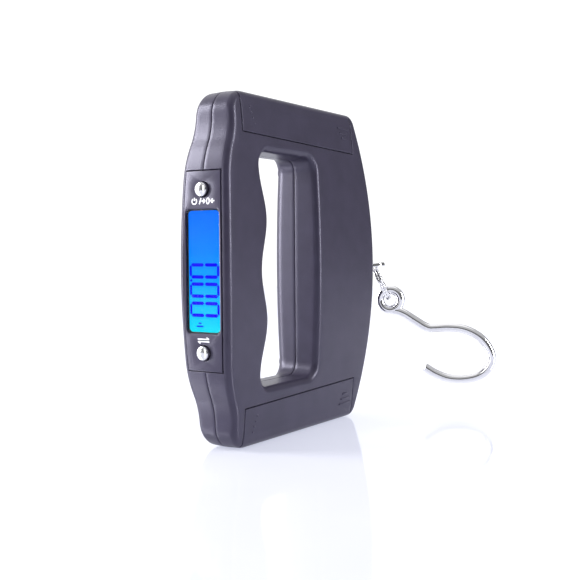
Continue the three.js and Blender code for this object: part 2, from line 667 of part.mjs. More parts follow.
// ---------------------------------------------------------------- materials
const material = (color, roughness, metalness = 0, extra = {}) =>
  new THREE.MeshStandardMaterial({ color, roughness, metalness, ...extra });
const finishes = {
  shell: material(0x45434f, 0.5),
  panel: material(0x4a4855, 0.45),
  clear: material(0x1a6cff, 0.1, 0, { transparent: true, opacity: 0.6 }),
  glass: material(0x0a58e8, 0.15),
  light: material(0x10a8ff, 0.4, 0, { emissive: 0x0a70ff }),
  rubber: material(0x50505a, 0.8),
  board: material(0x1c6b3a, 0.6),
  chip: material(0x121214, 0.4),
  chrome: material(0xe6e6ea, 0.12, 1),
  steel: material(0xb8bac0, 0.35, 1),
  aluminium: material(0xc4c7cc, 0.4, 1),
  brass: material(0xc9a14a, 0.35, 1),
  gauge: material(0xb5813a, 0.5),
  battery: material(0x30343c, 0.35, 0.3),
  cable: material(0x8c1f1f, 0.5),
  black: material(0x202024, 0.5),
};

// ---------------------------------------------------------------- the assembly
const group = new THREE.Group();
group.name = 'luggage_scale';
// The origin is a point on the rear shell's flat end, which carries the standing scale.
const baseY = 2.5;
group.position.set(0, -baseY, body.halfLength);

function add(name, shape, finish) {
  const geometry = shape.isBufferGeometry ? shape : toGeometry(shape);
  const mesh = new THREE.Mesh(geometry, finish);
  mesh.name = name;
  group.add(mesh);
}

const ends = [['upper', 1], ['lower', -1]];
const buttonSides = [['tare', 1], ['unit', -1]];
const boardBack = board.front + board.thickness;

add('front_shell', frontShell(), finishes.shell);
add('rear_shell', rearShell(), finishes.shell);
for (const [name, end] of ends) {
  add(`battery_door_${name}`, batteryDoor(end), finishes.shell);
  add(`battery_${name}`, batteryBody(end), finishes.battery);
  add(`contact_plate_${name}`, contactPlate(end), finishes.brass);
  add(`spring_plate_${name}`, springPlate(end), finishes.steel);
  add(`battery_spring_${name}`, batterySpring(end), finishes.steel);
  add(`battery_lead_${name}`, batteryLead(end), finishes.cable);
}

add('display_panel', displayPanel(), finishes.panel);
add('lcd_window', lcdWindowPane(), finishes.clear);
const glassHeight = [-lcdGlass.halfHeight, lcdGlass.halfHeight];
const glassWidth = [-lcdGlass.halfWidth, lcdGlass.halfWidth];
const zebraHeight = [-zebra.halfHeight, zebra.halfHeight];
add('lcd_glass', box([lcdGlass.front, lcdGlass.back], glassWidth, glassHeight), finishes.glass);
add('backlight', box([lamp.front, lamp.back], lamp.sides, glassHeight), finishes.light);
add('zebra_strip', box([lamp.front, board.front - gap], zebra.sides, zebraHeight), finishes.rubber);
const boardWidth = [-board.halfWidth, board.halfWidth];
const boardHeight = [-board.halfHeight, board.halfHeight];
add('main_board', box([board.front, boardBack], boardWidth, boardHeight), finishes.board);
add('controller_chip', box([boardBack + 0.2, boardBack + 1.6], [-3.5, 3.5], [-4, 6]), finishes.chip);
add('converter_chip', box([boardBack + 0.2, boardBack + 1.4], [-2.4, 2.4], [-17, -12]), finishes.chip);
add('filter_capacitor', cylinder('x', 2.0, boardBack + 0.2, boardBack + 4.2, [0, 14], 16), finishes.steel);
for (const [name, place] of buttonSides) {
  add(`${name}_button`, pushButton(place), finishes.chrome);
  add(`${name}_plunger`, switchPlunger(place), finishes.black);
  add(`${name}_switch`, tactSwitch(place), finishes.steel);
}

add('load_cell', loadCell(), finishes.aluminium);
add('strain_gauge_inner', strainGauge(-1), finishes.gauge);
add('strain_gauge_outer', strainGauge(1), finishes.gauge);
const cellMiddle = (cell.left + cell.right) / 2;
cell.screwZ.forEach((z, i) => {
  const solid = panScrew(cellMiddle, z, -cell.halfWidth - 0.1, 7.5, -1, 2.5, 1.8, 1.1);
  add(`cell_screw_${i + 1}`, solid, finishes.steel);
});
add('load_cell_cable', cellCable(), finishes.cable);
add('battery_link_wire', linkWire(), finishes.cable);
add('eye_washer', eyeWasher(), finishes.steel);
add('eye_nut', eyeNut(), finishes.steel);
add('hook_bush', hookBush(), finishes.black);
add('swivel_eye', swivelEye(), finishes.chrome);
add('split_ring', splitRing(), finishes.chrome);
add('hook', hookSolid(), finishes.chrome);

screwPlaces.forEach(([x, z], i) => {
  const { headRadius, headHeight, shankRadius, seatY, tipY } = screw;
  const solid = panScrew(x, z, seatY + 0.1, tipY, 1, headRadius, headHeight, shankRadius);
  add(`shell_screw_${i + 1}`, solid, finishes.steel);
});

export default group;
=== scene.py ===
"""A digital luggage scale standing on its short end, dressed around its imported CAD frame.

Lengths below are in millimetres and in the body's own frame, whose origin is the middle of the
handle: +Z up the handle, -X the hand side, +X the hook side and -Y the front. place() turns them
into the row frame.
"""
import math

import bmesh
import bpy
import numpy as np
from mathutils import Euler, Matrix, Vector
from mathutils.geometry import delaunay_2d_cdt


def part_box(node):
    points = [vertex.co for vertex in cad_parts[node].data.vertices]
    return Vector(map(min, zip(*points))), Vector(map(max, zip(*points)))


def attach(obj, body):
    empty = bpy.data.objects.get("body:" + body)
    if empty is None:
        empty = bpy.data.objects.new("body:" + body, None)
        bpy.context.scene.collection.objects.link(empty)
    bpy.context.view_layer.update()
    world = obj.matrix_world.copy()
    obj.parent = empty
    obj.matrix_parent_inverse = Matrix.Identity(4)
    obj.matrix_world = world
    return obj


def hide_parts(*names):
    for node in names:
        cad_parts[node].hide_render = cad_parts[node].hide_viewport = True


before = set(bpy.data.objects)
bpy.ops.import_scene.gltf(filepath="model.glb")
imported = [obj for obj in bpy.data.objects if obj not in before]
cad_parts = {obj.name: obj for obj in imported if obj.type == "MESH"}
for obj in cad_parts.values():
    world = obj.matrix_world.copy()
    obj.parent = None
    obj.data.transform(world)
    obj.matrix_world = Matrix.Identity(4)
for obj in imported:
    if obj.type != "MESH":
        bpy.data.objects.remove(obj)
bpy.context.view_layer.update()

# ---------- driving dimensions
MM = 0.001
HALF_LENGTH = 60.0
HALF_THICKNESS = 10.3
CROWN_RADIUS = 590.0
WALL = 1.9
HALF_SEAM = 0.07
SEAM_ROUND = 0.2
DRAFT = math.tan(math.radians(2.0))
FRONT_FILLET, FRONT_HOLE_FILLET = 2.5, 2.4
REAR_FILLET, REAR_HOLE_FILLET = 2.5, 4.2

HAND_APEX, HAND_RADIUS, HAND_SPAN = -50.6, 440.0, 30.0
SHOULDER_RADIUS, SHOULDER_ANGLE = 34.0, 25.0
NECK_RADIUS = 22.7
HOOK_APEX, HOOK_RADIUS, HOOK_CORNER = 50.6, 147.0, 5.0

HOLE_RIGHT, HOLE_TOP = 5.5, 40.0
HOLE_CORNER_RIGHT, HOLE_CORNER_LEFT = 5.0, 4.5
GRIP_MEAN, GRIP_WAVE, GRIP_PITCH = -27.4, 1.7, 35.5

DOOR_LEFT, DOOR_RIGHT, DOOR_INNER, DOOR_TAPER = -38.6, 34.6, 45.3, -0.024
DOOR_GAP = 0.3
PANEL_TOP, PANEL_SIDE, PANEL_DEPTH = 32.8, 7.85, 3.2
PANEL_GAP = 0.3
WINDOW_TOP, WINDOW_SIDE, WINDOW_CORNER = 20.4, 6.9, 1.6
BUTTON_Z, BUTTON_HOLE, BUTTON_CAP, BUTTON_PROUD = 26.7, 2.65, 2.35, 1.7

EYE_Z = -0.6
BUSH_HOLE = 4.5
SCREW_PLACES = [(-35, 33), (-35, -33), (11, 36), (11, -36), (39, 39), (39, -39)]
SCREW_SEAT, COUNTERBORE = 6.5, 2.9

low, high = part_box("rear_shell")
MIDDLE = Vector((0, high.y / MM - HALF_THICKNESS, (low.z + high.z) / 2 / MM))


def place(point):
    """A point in the body's own frame, in millimetres, as a row frame point in metres."""
    return (Vector(point) + MIDDLE) * MM


def fall(z):
    """How far the crowned broad faces have fallen towards the parting plane at height z."""
    return z * z / (2 * CROWN_RADIUS)


# ---------- materials
def new_material(name):
    """A new material, its node tree and its shader."""
    material = bpy.data.materials.new(name)
    material.use_nodes = True
    return material, material.node_tree, material.node_tree.nodes["Principled BSDF"]


def set_inputs(node, **values):
    """Sets a node's inputs; an underscore stands for a space in an input's name."""
    for key, value in values.items():
        node.inputs[key.replace("_", " ")].default_value = value


def add_node(tree, kind, **values):
    node = tree.nodes.new("ShaderNode" + kind)
    set_inputs(node, **values)
    return node


def add_ramp(tree, stops):
    """A colour ramp through (position, colour) stops."""
    ramp = add_node(tree, "ValToRGB")
    elements = ramp.color_ramp.elements
    while len(elements) < len(stops):
        elements.new(0.5)
    for element, (position, colour) in zip(elements, stops):
        element.position = position
        element.color = (*colour, 1)
    return ramp


def connect(tree, *wires):
    """Links outputs to inputs, each wire as (node, output, node, input)."""
    for source, output, target, socket in wires:
        tree.links.new(source.outputs[output], target.inputs[socket])


BROAD_GRAIN = 0.06


def grained(name, colour, roughness, metallic=0.0, tint=0.12, spread=0.06,
            grain=900.0, bump=0.05, depth=0.0001, stretch=(1, 1, 1), **inputs):
    """A surface whose colour, gloss and fine relief all vary a little with noise."""
    material, tree, shader = new_material(name)
    dark = [c * (1 - tint) for c in colour]
    light = [min(1, c * (1 + tint)) for c in colour]
    where = add_node(tree, "TexCoord")
    scaled = add_node(tree, "Mapping", Scale=stretch)
    fine = add_node(tree, "TexNoise", Scale=grain, Detail=3.0)
    broad = add_node(tree, "TexNoise", Scale=grain * BROAD_GRAIN, Detail=4.0)
    ramp = add_ramp(tree, [(0.3, dark), (0.7, light)])
    gloss = add_node(tree, "MapRange", To_Min=max(0.02, roughness - spread), To_Max=roughness + spread)
    relief = add_node(tree, "Bump", Strength=bump, Distance=depth)
    connect(tree, (where, "Object", scaled, "Vector"),
            (scaled, "Vector", fine, "Vector"), (scaled, "Vector", broad, "Vector"),
            (broad, "Fac", ramp, "Fac"), (ramp, "Color", shader, "Base Color"),
            (fine, "Fac", gloss, "Value"), (gloss, "Result", shader, "Roughness"),
            (fine, "Fac", relief, "Height"), (relief, "Normal", shader, "Normal"))
    set_inputs(shader, Metallic=metallic, **inputs)
    return material


def display_glow():
    """The lit display: deep blue at the top, cyan at the bottom where its lamp sits."""
    material, tree, shader = new_material("display_glow")
    where = add_node(tree, "TexCoord")
    split = add_node(tree, "SeparateXYZ")
    height = add_node(tree, "MapRange", From_Min=place((0, 0, -WINDOW_TOP)).z,
                      From_Max=place((0, 0, WINDOW_TOP)).z)
    ramp = add_ramp(tree, [(0.0, (0.0, 0.78, 0.86)), (0.12, (0.0, 0.60, 1.0)), (0.42, (0.0, 0.36, 1.0)),
                           (0.65, (0.0, 0.22, 1.0)), (1.0, (0.0, 0.14, 1.0))])
    cells = add_node(tree, "TexNoise", Scale=220.0)
    patchy = add_node(tree, "MapRange", To_Min=0.94, To_Max=1.06)
    connect(tree, (where, "Object", split, "Vector"), (split, "Z", height, "Value"),
            (height, "Result", ramp, "Fac"), (ramp, "Color", shader, "Emission Color"),
            (where, "Object", cells, "Vector"), (cells, "Fac", patchy, "Value"),
            (patchy, "Result", shader, "Emission Strength"))
    set_inputs(shader, Base_Color=(0.0, 0.02, 0.05, 1), Roughness=0.4, Specular_IOR_Level=0.05)
    return material


# Painted light colour: a violet tint on the plastics' reflections that stands in for the bluish studio light,
# while the lamps themselves stay white.
PAINTED_LIGHT_TINT = (0.80, 0.78, 1.0, 1)

MATERIALS = {
    # The shell and panel plastics carry the painted violet light tint on their reflections.
    "shell": grained("shell_plastic", (0.030, 0.026, 0.046), 0.34, spread=0.05, grain=2600, bump=0.22,
                     Specular_Tint=PAINTED_LIGHT_TINT),
    "panel": grained("panel_plastic", (0.032, 0.028, 0.048), 0.32, spread=0.04, grain=3200, bump=0.1,
                     Specular_Tint=PAINTED_LIGHT_TINT),
    "chrome": grained("chrome_plate", (0.80, 0.795, 0.81), 0.07, 1.0, tint=0.03, spread=0.03,
                      grain=700, bump=0.03),
    "button": grained("button_chrome", (0.70, 0.70, 0.72), 0.18, 1.0, tint=0.06, spread=0.06,
                      grain=1600, bump=0.12),
    "steel": grained("zinc_steel", (0.62, 0.63, 0.66), 0.32, 1.0, spread=0.1, grain=1500, bump=0.1),
    "nylon": grained("black_nylon", (0.02, 0.02, 0.022), 0.5, grain=2500, bump=0.15),
    "print": grained("white_print", (0.86, 0.86, 0.9), 0.5, tint=0.03, grain=3000, bump=0.1),
    "mask": grained("window_mask", (0.012, 0.012, 0.016), 0.3, grain=3000, bump=0.03),
    "brass": grained("contact_brass", (0.70, 0.52, 0.22), 0.25, 1.0, grain=1200, bump=0.08),
    "aluminium": grained("milled_aluminium", (0.74, 0.75, 0.77), 0.3, 1.0, grain=900, bump=0.15,
                         stretch=(1, 1, 12)),
    "board": grained("board_laminate", (0.012, 0.13, 0.05), 0.35, tint=0.5, grain=1400, bump=0.3),
    "chip": grained("chip_epoxy", (0.02, 0.02, 0.022), 0.45, grain=3000, bump=0.2),
    "film": grained("gauge_film", (0.5, 0.26, 0.06), 0.3, tint=0.3, grain=1500, bump=0.1),
    "rubber": grained("contact_rubber", (0.12, 0.12, 0.14), 0.7, tint=0.4, grain=2500, bump=0.2,
                      stretch=(1, 1, 8)),
    "wrap": grained("cell_wrap", (0.045, 0.05, 0.06), 0.28, tint=0.2, grain=500, bump=0.04),
    "cell_end": grained("cell_end_steel", (0.78, 0.78, 0.8), 0.22, 1.0, grain=900, bump=0.05),
    "red_wire": grained("red_insulation", (0.42, 0.02, 0.02), 0.4, grain=1500, bump=0.08),
    "black_wire": grained("black_insulation", (0.02, 0.02, 0.02), 0.4, grain=1500, bump=0.08),
    "grey_wire": grained("grey_sheath", (0.35, 0.35, 0.37), 0.45, grain=1500, bump=0.08),
    "diffuser": grained("backlight_diffuser", (0.55, 0.75, 0.9), 0.3, grain=1500, bump=0.05),
    "glow": display_glow(),
    "segment": grained("display_segment", (0.0, 0.0, 0.12), 0.4, tint=0.2, Specular_IOR_Level=0.05,
                       Emission_Color=(0.002, 0.0, 0.85, 1), Emission_Strength=1.0),
    "clear": grained("clear_plastic", (0.97, 0.98, 1.0), 0.03, tint=0.01, spread=0.01, bump=0.01,
                     Transmission_Weight=1.0, IOR=1.12),
}


# ---------- making pieces
SHARP_ANGLE = math.radians(40.0)


def new_object(name, data):
    made = bpy.data.objects.new(name, data)
    bpy.context.scene.collection.objects.link(made)
    return made


def placed_mesh(bm, name):
    """Keeps a closed bmesh in body millimetres as a mesh in the row frame."""
    bmesh.ops.recalc_face_normals(bm, faces=bm.faces)
    for vertex in bm.verts:
        vertex.co = place(vertex.co)
    mesh = bpy.data.meshes.new(name)
    bm.to_mesh(mesh)
    bm.free()
    return mesh


def smooth(mesh):
    """Smooth shading everywhere except across sharp edges."""
    mesh.polygons.foreach_set("use_smooth", [True] * len(mesh.polygons))
    mesh.set_sharp_from_angle(angle=SHARP_ANGLE)


def finish_mesh(bm, name, body, materials, replaced=()):
    """Turns a bmesh in body millimetres into a piece that rides on a body."""
    bmesh.ops.remove_doubles(bm, verts=bm.verts, dist=1e-5)
    mesh = placed_mesh(bm, name)
    smooth(mesh)
    piece = new_object(name, mesh)
    for material in [materials] if isinstance(materials, str) else materials:
        mesh.materials.append(MATERIALS[material])
    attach(piece, body)
    if replaced:
        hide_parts(*replaced)
    return piece


def combine(piece, operation, tool_bm):
    """Adds or removes a solid, given as a bmesh in body millimetres, and keeps the result."""
    tool = new_object("tool", placed_mesh(tool_bm, "tool"))
    modifier = piece.modifiers.new("combine", "BOOLEAN")
    modifier.operation = operation
    modifier.solver = "EXACT"
    modifier.object = tool
    graph = bpy.context.evaluated_depsgraph_get()
    result = bpy.data.meshes.new_from_object(piece.evaluated_get(graph))
    piece.modifiers.clear()
    piece.data = result
    smooth(result)
    bpy.data.objects.remove(tool)
    return piece


def add_box(bm, x, y, z, bevel=0.0):
    """Adds a box, given by its ends on each axis, with its edges bevelled."""
    made = bmesh.ops.create_cube(bm, size=1.0)
    middle = Vector(((x[0] + x[1]) / 2, (y[0] + y[1]) / 2, (z[0] + z[1]) / 2))
    for vertex in made["verts"]:
        vertex.co = middle + Vector((vertex.co.x * abs(x[1] - x[0]), vertex.co.y * abs(y[1] - y[0]),
                                     vertex.co.z * abs(z[1] - z[0])))
    if bevel:
        edges = list({e for v in made["verts"] for e in v.link_edges})
        bmesh.ops.bevel(bm, geom=edges, offset=bevel, segments=3, profile=0.5, affect="EDGES")
    return bm


def add_lathe(bm, profile, origin, axis, segments=56):
    """Adds a solid of revolution: [radius, height] pairs turned about axis at origin."""
    turn = Vector(axis).to_track_quat("Z", "Y").to_matrix()
    rings = []
    for radius, height in profile:
        if radius < 1e-6:
            rings.append([bm.verts.new(Vector(origin) + turn @ Vector((0, 0, height)))])
            continue
        rings.append([bm.verts.new(Vector(origin) + turn @ Vector((
            radius * math.cos(2 * math.pi * k / segments),
            radius * math.sin(2 * math.pi * k / segments), height))) for k in range(segments)])
    closed = profile[0][0] > 1e-6
    for lower, upper in zip(rings, rings[1:] + rings[:1] if closed else rings[1:]):
        for k in range(segments):
            n = (k + 1) % segments
            corners = [lower[k % len(lower)], lower[n % len(lower)],
                       upper[n % len(upper)], upper[k % len(upper)]]
            corners = list(dict.fromkeys(corners))
            if len(corners) > 2:
                bm.faces.new(corners)
    return bm


def cylinder(radius, start, end, origin, axis, segments):
    profile = [(0, start), (radius, start), (radius, end), (0, end)]
    return add_lathe(bmesh.new(), profile, origin, axis, segments)


def rounded(corners, radius, closed=False, steps=4):
    """A polyline with each of its corners rounded; the radius shrinks where an edge is short."""
    points = [Vector(c) for c in corners]
    count = len(points)
    result = []
    for i, corner in enumerate(points):
        if not closed and i in (0, count - 1):
            result.append(tuple(corner))
            continue
        before = points[i - 1] - corner
        after = points[(i + 1) % count] - corner
        reach = min(radius, before.length * 0.45, after.length * 0.45)
        start = corner + before.normalized() * reach
        end = corner + after.normalized() * reach
        for k in range(steps + 1):
            t = k / steps
            result.append(tuple(start * (1 - t) ** 2 + corner * 2 * t * (1 - t) + end * t ** 2))
    return result


def join_rings(bm, rings, closed=False):
    """Joins each ring of vertices to the next one, and the last to the first or caps both ends."""
    for one, other in zip(rings, rings[1:] + rings[:1] if closed else rings[1:]):
        for k in range(len(one)):
            n = (k + 1) % len(one)
            bm.faces.new((one[k], one[n], other[n], other[k]))
    if not closed:
        bm.faces.new(list(reversed(rings[0])))
        bm.faces.new(rings[-1])
    return bm


def add_sweep(bm, path, section, across, closed=False):
    """Adds a section swept along a path. across(i, tangent) is the section's first axis there."""
    count = len(path)
    rings = []
    for i, point in enumerate(path):
        before = path[i - 1] if i or closed else path[0]
        after = path[(i + 1) % count] if i < count - 1 or closed else path[-1]
        tangent = (Vector(after) - Vector(before)).normalized()
        first = across(i, tangent)
        first = (first - tangent * first.dot(tangent)).normalized()
        second = tangent.cross(first)
        rings.append([bm.verts.new(Vector(point) + first * u + second * v) for u, v in section(i)])
    return join_rings(bm, rings, closed)


def circle(radius, sides):
    return [(radius * math.cos(2 * math.pi * k / sides), radius * math.sin(2 * math.pi * k / sides))
            for k in range(sides)]


def smooth_path(points, per_span=8):
    """A centripetal Catmull-Rom curve through points, as a list of Vectors."""
    p = [Vector(q) for q in points]
    p = [p[0] * 2 - p[1]] + p + [p[-1] * 2 - p[-2]]
    result = []
    for a, b, c, d in zip(p, p[1:], p[2:], p[3:]):
        knots = [0.0]
        for m, n in ((a, b), (b, c), (c, d)):
            knots.append(knots[-1] + max((n - m).length ** 0.5, 1e-6))
        for k in range(per_span):
            t = knots[1] + (knots[2] - knots[1]) * k / per_span

            def mix(m, n, i, j):
                return (m * (knots[j] - t) + n * (t - knots[i])) / (knots[j] - knots[i])

            ab, bc, cd = mix(a, b, 0, 1), mix(b, c, 1, 2), mix(c, d, 2, 3)
            result.append(mix(mix(ab, bc, 0, 2), mix(bc, cd, 1, 3), 1, 2))
    return result + [p[-2]]


# ---------- outlines in X and Z
CORNER_STEPS, HAND_STEPS, HOOK_STEPS, END_STEPS = 16, 132, 90, 72
RUN_POINTS, GRIP_POINTS = 80, 240


def unit(vectors):
    return vectors / np.linalg.norm(vectors, axis=1, keepdims=True)


def arc(centre, radius, start, stop, hollow=False):
    """Points along an arc and the normals that leave the material there; angles in degrees."""
    angle = np.radians(np.linspace(start, stop, RUN_POINTS))
    ring = np.stack([np.cos(angle), np.sin(angle)], 1)
    return np.array(centre) + radius * ring, -ring if hollow else ring


def line(start, end, normal):
    """Points along a straight run and its normal at each of them."""
    t = np.linspace(0, 1, RUN_POINTS)[:, None]
    normals = np.tile(np.array(normal, float), (RUN_POINTS, 1))
    return (1 - t) * np.array(start) + t * np.array(end), normals


def mirrored(run):
    """The same run below the middle, walked the other way."""
    points, normals = run
    return (points * (1, -1))[::-1], (normals * (1, -1))[::-1]


def spread(runs, count):
    """Evenly spaced points and normals along runs that follow each other, without the last point."""
    points = np.concatenate([p for p, _ in runs])
    normals = np.concatenate([n for _, n in runs])
    length = np.r_[0, np.cumsum(np.linalg.norm(np.diff(points, axis=0), axis=1))]
    at = np.linspace(0, length[-1], count, endpoint=False)
    points, normals = [np.stack([np.interp(at, length, v[:, k]) for k in (0, 1)], 1)
                       for v in (points, normals)]
    return points, unit(normals)


def outline(*stretches):
    """Points and normals round a closed outline, out of stretches given as (runs, number of points)."""
    parts = [spread(runs, count) for runs, count in stretches]
    return np.concatenate([p for p, _ in parts]), np.concatenate([n for _, n in parts])


def body_outline():
    """The outline of the handle, counter-clockwise from the top of its hand side."""
    grip = np.array((HAND_APEX + HAND_RADIUS, 0.0))
    grip_angle = math.degrees(math.asin(HAND_SPAN / HAND_RADIUS))

    def away(angle):
        return np.array((-math.cos(math.radians(angle)), math.sin(math.radians(angle))))

    shoulder = grip + away(grip_angle) * (HAND_RADIUS - SHOULDER_RADIUS)
    neck = shoulder + away(SHOULDER_ANGLE) * (SHOULDER_RADIUS + NECK_RADIUS)
    corner_radius = HALF_LENGTH - neck[1]
    corner = (neck[0] + NECK_RADIUS + corner_radius, neck[1])
    hook = (HOOK_APEX - HOOK_RADIUS, 0.0)
    far_z = HALF_LENGTH - HOOK_CORNER
    far_angle = math.degrees(math.asin(far_z / (HOOK_RADIUS - HOOK_CORNER)))
    far_x = hook[0] + (HOOK_RADIUS - HOOK_CORNER) * math.cos(math.radians(far_angle))

    top_corner = arc(corner, corner_radius, 90, 180)
    upper_hand = [arc(neck, NECK_RADIUS, 0, -SHOULDER_ANGLE, hollow=True),
                  arc(shoulder, SHOULDER_RADIUS, 180 - SHOULDER_ANGLE, 180 - grip_angle)]
    main = arc(grip, HAND_RADIUS, 180 - grip_angle, 180 + grip_angle)
    hand = upper_hand + [main] + [mirrored(run) for run in reversed(upper_hand)]
    far_corner = arc((far_x, far_z), HOOK_CORNER, far_angle, 90)
    bottom = line((corner[0], -HALF_LENGTH), (far_x, -HALF_LENGTH), (0, -1))
    hook_side = arc(hook, HOOK_RADIUS, -far_angle, far_angle)
    return outline(
        ([top_corner], CORNER_STEPS), (hand, HAND_STEPS), ([mirrored(top_corner)], CORNER_STEPS),
        ([bottom], END_STEPS), ([mirrored(far_corner)], CORNER_STEPS), ([hook_side], HOOK_STEPS),
        ([far_corner], CORNER_STEPS), ([mirrored(bottom)], END_STEPS))


def grip_wall():
    """The three shallow finger grooves on the hand side of the hole, walked downwards."""
    z = np.linspace(GRIP_PITCH, -GRIP_PITCH, GRIP_POINTS)
    turn = 2 * math.pi / GRIP_PITCH
    x = GRIP_MEAN - GRIP_WAVE * np.cos(turn * z)
    slope = GRIP_WAVE * turn * np.sin(turn * z)
    return np.stack([x, z], 1), unit(np.stack([np.ones_like(z), -slope], 1))


def hole_outline():
    """The outline of the finger hole, with as many points on each side as the body's outline."""
    groove_x = GRIP_MEAN - GRIP_WAVE
    left = (groove_x + HOLE_CORNER_LEFT, GRIP_PITCH)
    right = (HOLE_RIGHT - HOLE_CORNER_RIGHT, HOLE_TOP - HOLE_CORNER_RIGHT)
    top_left = arc(left, HOLE_CORNER_LEFT, 90, 180, hollow=True)
    top_right = arc(right, HOLE_CORNER_RIGHT, 0, 90, hollow=True)
    bottom = line((left[0], -HOLE_TOP), (right[0], -HOLE_TOP), (0, 1))
    side = line((HOLE_RIGHT, -right[1]), (HOLE_RIGHT, right[1]), (-1, 0))
    return outline(
        ([top_left], CORNER_STEPS), ([grip_wall()], HAND_STEPS), ([mirrored(top_left)], CORNER_STEPS),
        ([bottom], END_STEPS), ([mirrored(top_right)], CORNER_STEPS), ([side], HOOK_STEPS),
        ([top_right], CORNER_STEPS), ([mirrored(bottom)], END_STEPS))


BODY, HOLE = body_outline(), hole_outline()


# ---------- shell skins
SEAM_STEPS = (0.0, 0.04, 0.1, SEAM_ROUND)
WALL_STEPS, FILLET_STEPS, FACE_STEPS = 5, 10, 12
HAND_REGION_X, DOOR_REGION_Z, DOOR_SKIN_Z = -40, 35, 40
BUSH_CUT_START, BUSH_CUT_END = 44, 60
DOOR_WALL = 1.8


def three(points, y, side):
    """Outline points at distances y from the parting plane, on the front (-1) or the rear (+1)."""
    return np.stack([points[:, 0], side * y, points[:, 1]], 1)


def crown_normal(z, side):
    return unit(np.stack([np.zeros_like(z), np.full_like(z, side), z / CROWN_RADIUS], 1))


def edge_levels(edge, radius, side):
    """Rings from the parting plane up a drafted wall and over its fillet, as (points, normals)."""
    points, normals = edge
    z = points[:, 1]
    wall_top = HALF_THICKNESS - fall(z) - radius
    wall_normal = unit(np.stack([normals[:, 0], np.full_like(z, side * DRAFT), normals[:, 1]], 1))
    start = HALF_SEAM + SEAM_ROUND
    heights = [np.full_like(z, HALF_SEAM + step) for step in SEAM_STEPS]
    heights += [start + (wall_top - start) * k / WALL_STEPS for k in range(1, WALL_STEPS + 1)]
    levels = []
    for y in heights:
        inset = DRAFT * (y - HALF_SEAM)
        levels.append((three(points - normals * inset[:, None], y, side), wall_normal))
    lean = DRAFT * (wall_top - HALF_SEAM)
    for k in range(1, FILLET_STEPS + 1):
        angle = math.pi / 2 * k / FILLET_STEPS
        inset = lean + radius * (1 - math.cos(angle))
        y = wall_top + radius * math.sin(angle)
        normal = unit(math.cos(angle) * wall_normal + math.sin(angle) * crown_normal(z, side))
        levels.append((three(points - normals * inset[:, None], y, side), normal))
    return levels


def shell_skin(side, fillet, hole_fillet):
    """The outer skin of one shell as an open bmesh; layer "base" keeps each vertex's normal."""
    outer = edge_levels(BODY, fillet, side)
    inner = edge_levels(HOLE, hole_fillet, side)
    face = []
    for k in range(1, FACE_STEPS):
        t = k / FACE_STEPS
        flat = (1 - t) * outer[-1][0][:, (0, 2)] + t * inner[-1][0][:, (0, 2)]
        y = HALF_THICKNESS - fall(flat[:, 1])
        face.append((three(flat, y, side), crown_normal(flat[:, 1], side)))
    levels = outer + face + inner[::-1]
    bm = bmesh.new()
    base = bm.verts.layers.float_vector.new("base")
    rows = []
    for points, normals in levels:
        row = []
        for point, normal in zip(points.tolist(), normals.tolist()):
            vertex = bm.verts.new(point)
            vertex[base] = normal
            row.append(vertex)
        rows.append(row)
    for one, other in zip(rows, rows[1:]):
        for k in range(len(one)):
            n = (k + 1) % len(one)
            corners = (one[k], other[k], other[n], one[n])
            bm.faces.new(corners if side > 0 else corners[::-1])
    return bm


def slice_skin(bm, point, normal, where):
    """Cuts new edges along a plane through the faces whose middles satisfy where."""
    faces = [f for f in bm.faces if where(f.calc_center_median())]
    edges = {e for f in faces for e in f.edges}
    verts = {v for f in faces for v in f.verts}
    bmesh.ops.bisect_plane(bm, geom=[*verts, *edges, *faces], plane_co=point, plane_no=normal, dist=1e-4)


def lift_crown(bm, side, sign):
    """Adds (+1) or takes away (-1) the crown's fall, so that crowned cuts become plane ones."""
    for vertex in bm.verts:
        vertex.co.y += sign * side * fall(vertex.co.z)


def remove_faces(bm, where):
    gone = [f for f in bm.faces if where(f.calc_center_median())]
    bmesh.ops.delete(bm, geom=gone, context="FACES")


def thicken(bm, thickness, distance):
    """Rounds the skin's cut edges by their distance, then closes it into a wall of even thickness."""
    base = bm.verts.layers.float_vector["base"]
    rim = [e for e in bm.edges if len(e.link_faces) == 1]
    faces = list(bm.faces)
    twins = {}
    for vertex in list(bm.verts):
        normal = vertex[base].normalized()
        twins[vertex] = bm.verts.new(vertex.co - normal * thickness)
        near = distance(vertex.co)
        if near < SEAM_ROUND:
            rest = SEAM_ROUND - max(near, 0.0)
            vertex.co -= normal * (SEAM_ROUND - math.sqrt(SEAM_ROUND ** 2 - rest ** 2))
    for face in faces:
        bm.faces.new([twins[v] for v in reversed(face.verts)])
    for edge in rim:
        loop = edge.link_loops[0]
        a, b = loop.vert, loop.link_loop_next.vert
        bm.faces.new((b, a, twins[a], twins[b]))
    return bm


def corner_distance(a, b):
    """Signed distance from a square corner, given the signed distances from its two sides."""
    return math.hypot(a, b) if a > 0 and b > 0 else max(a, b)


def door_distance(x, z, end, margin=0.0):
    """Signed distance from a door's edges in X and Z: negative inside the door."""
    beside = max(DOOR_LEFT - margin - x, x - DOOR_RIGHT - margin)
    return corner_distance(beside, DOOR_INNER - margin + DOOR_TAPER * x - end * z)


def panel_distance(point):
    """Signed distance from the panel's opening in the hand side: negative inside it."""
    beside = abs(point.y) + fall(point.z) - (PANEL_SIDE + PANEL_GAP)
    return corner_distance(beside, abs(point.z) - (PANEL_TOP + PANEL_GAP))


def on_hand_side(point):
    return point.x < HAND_REGION_X


def cut_door_lines(bm, end, margin, outward):
    """Edges round one door, on its outline and at each rounding step beside it."""
    def near(c):
        return c.z * end > DOOR_REGION_Z

    for step in SEAM_STEPS:
        reach = margin + outward * step
        slice_skin(bm, (DOOR_LEFT - reach, 0, 0), (1, 0, 0), near)
        slice_skin(bm, (DOOR_RIGHT + reach, 0, 0), (1, 0, 0), near)
        slice_skin(bm, (0, 0, end * (DOOR_INNER - reach)), (-DOOR_TAPER, 0, end), near)


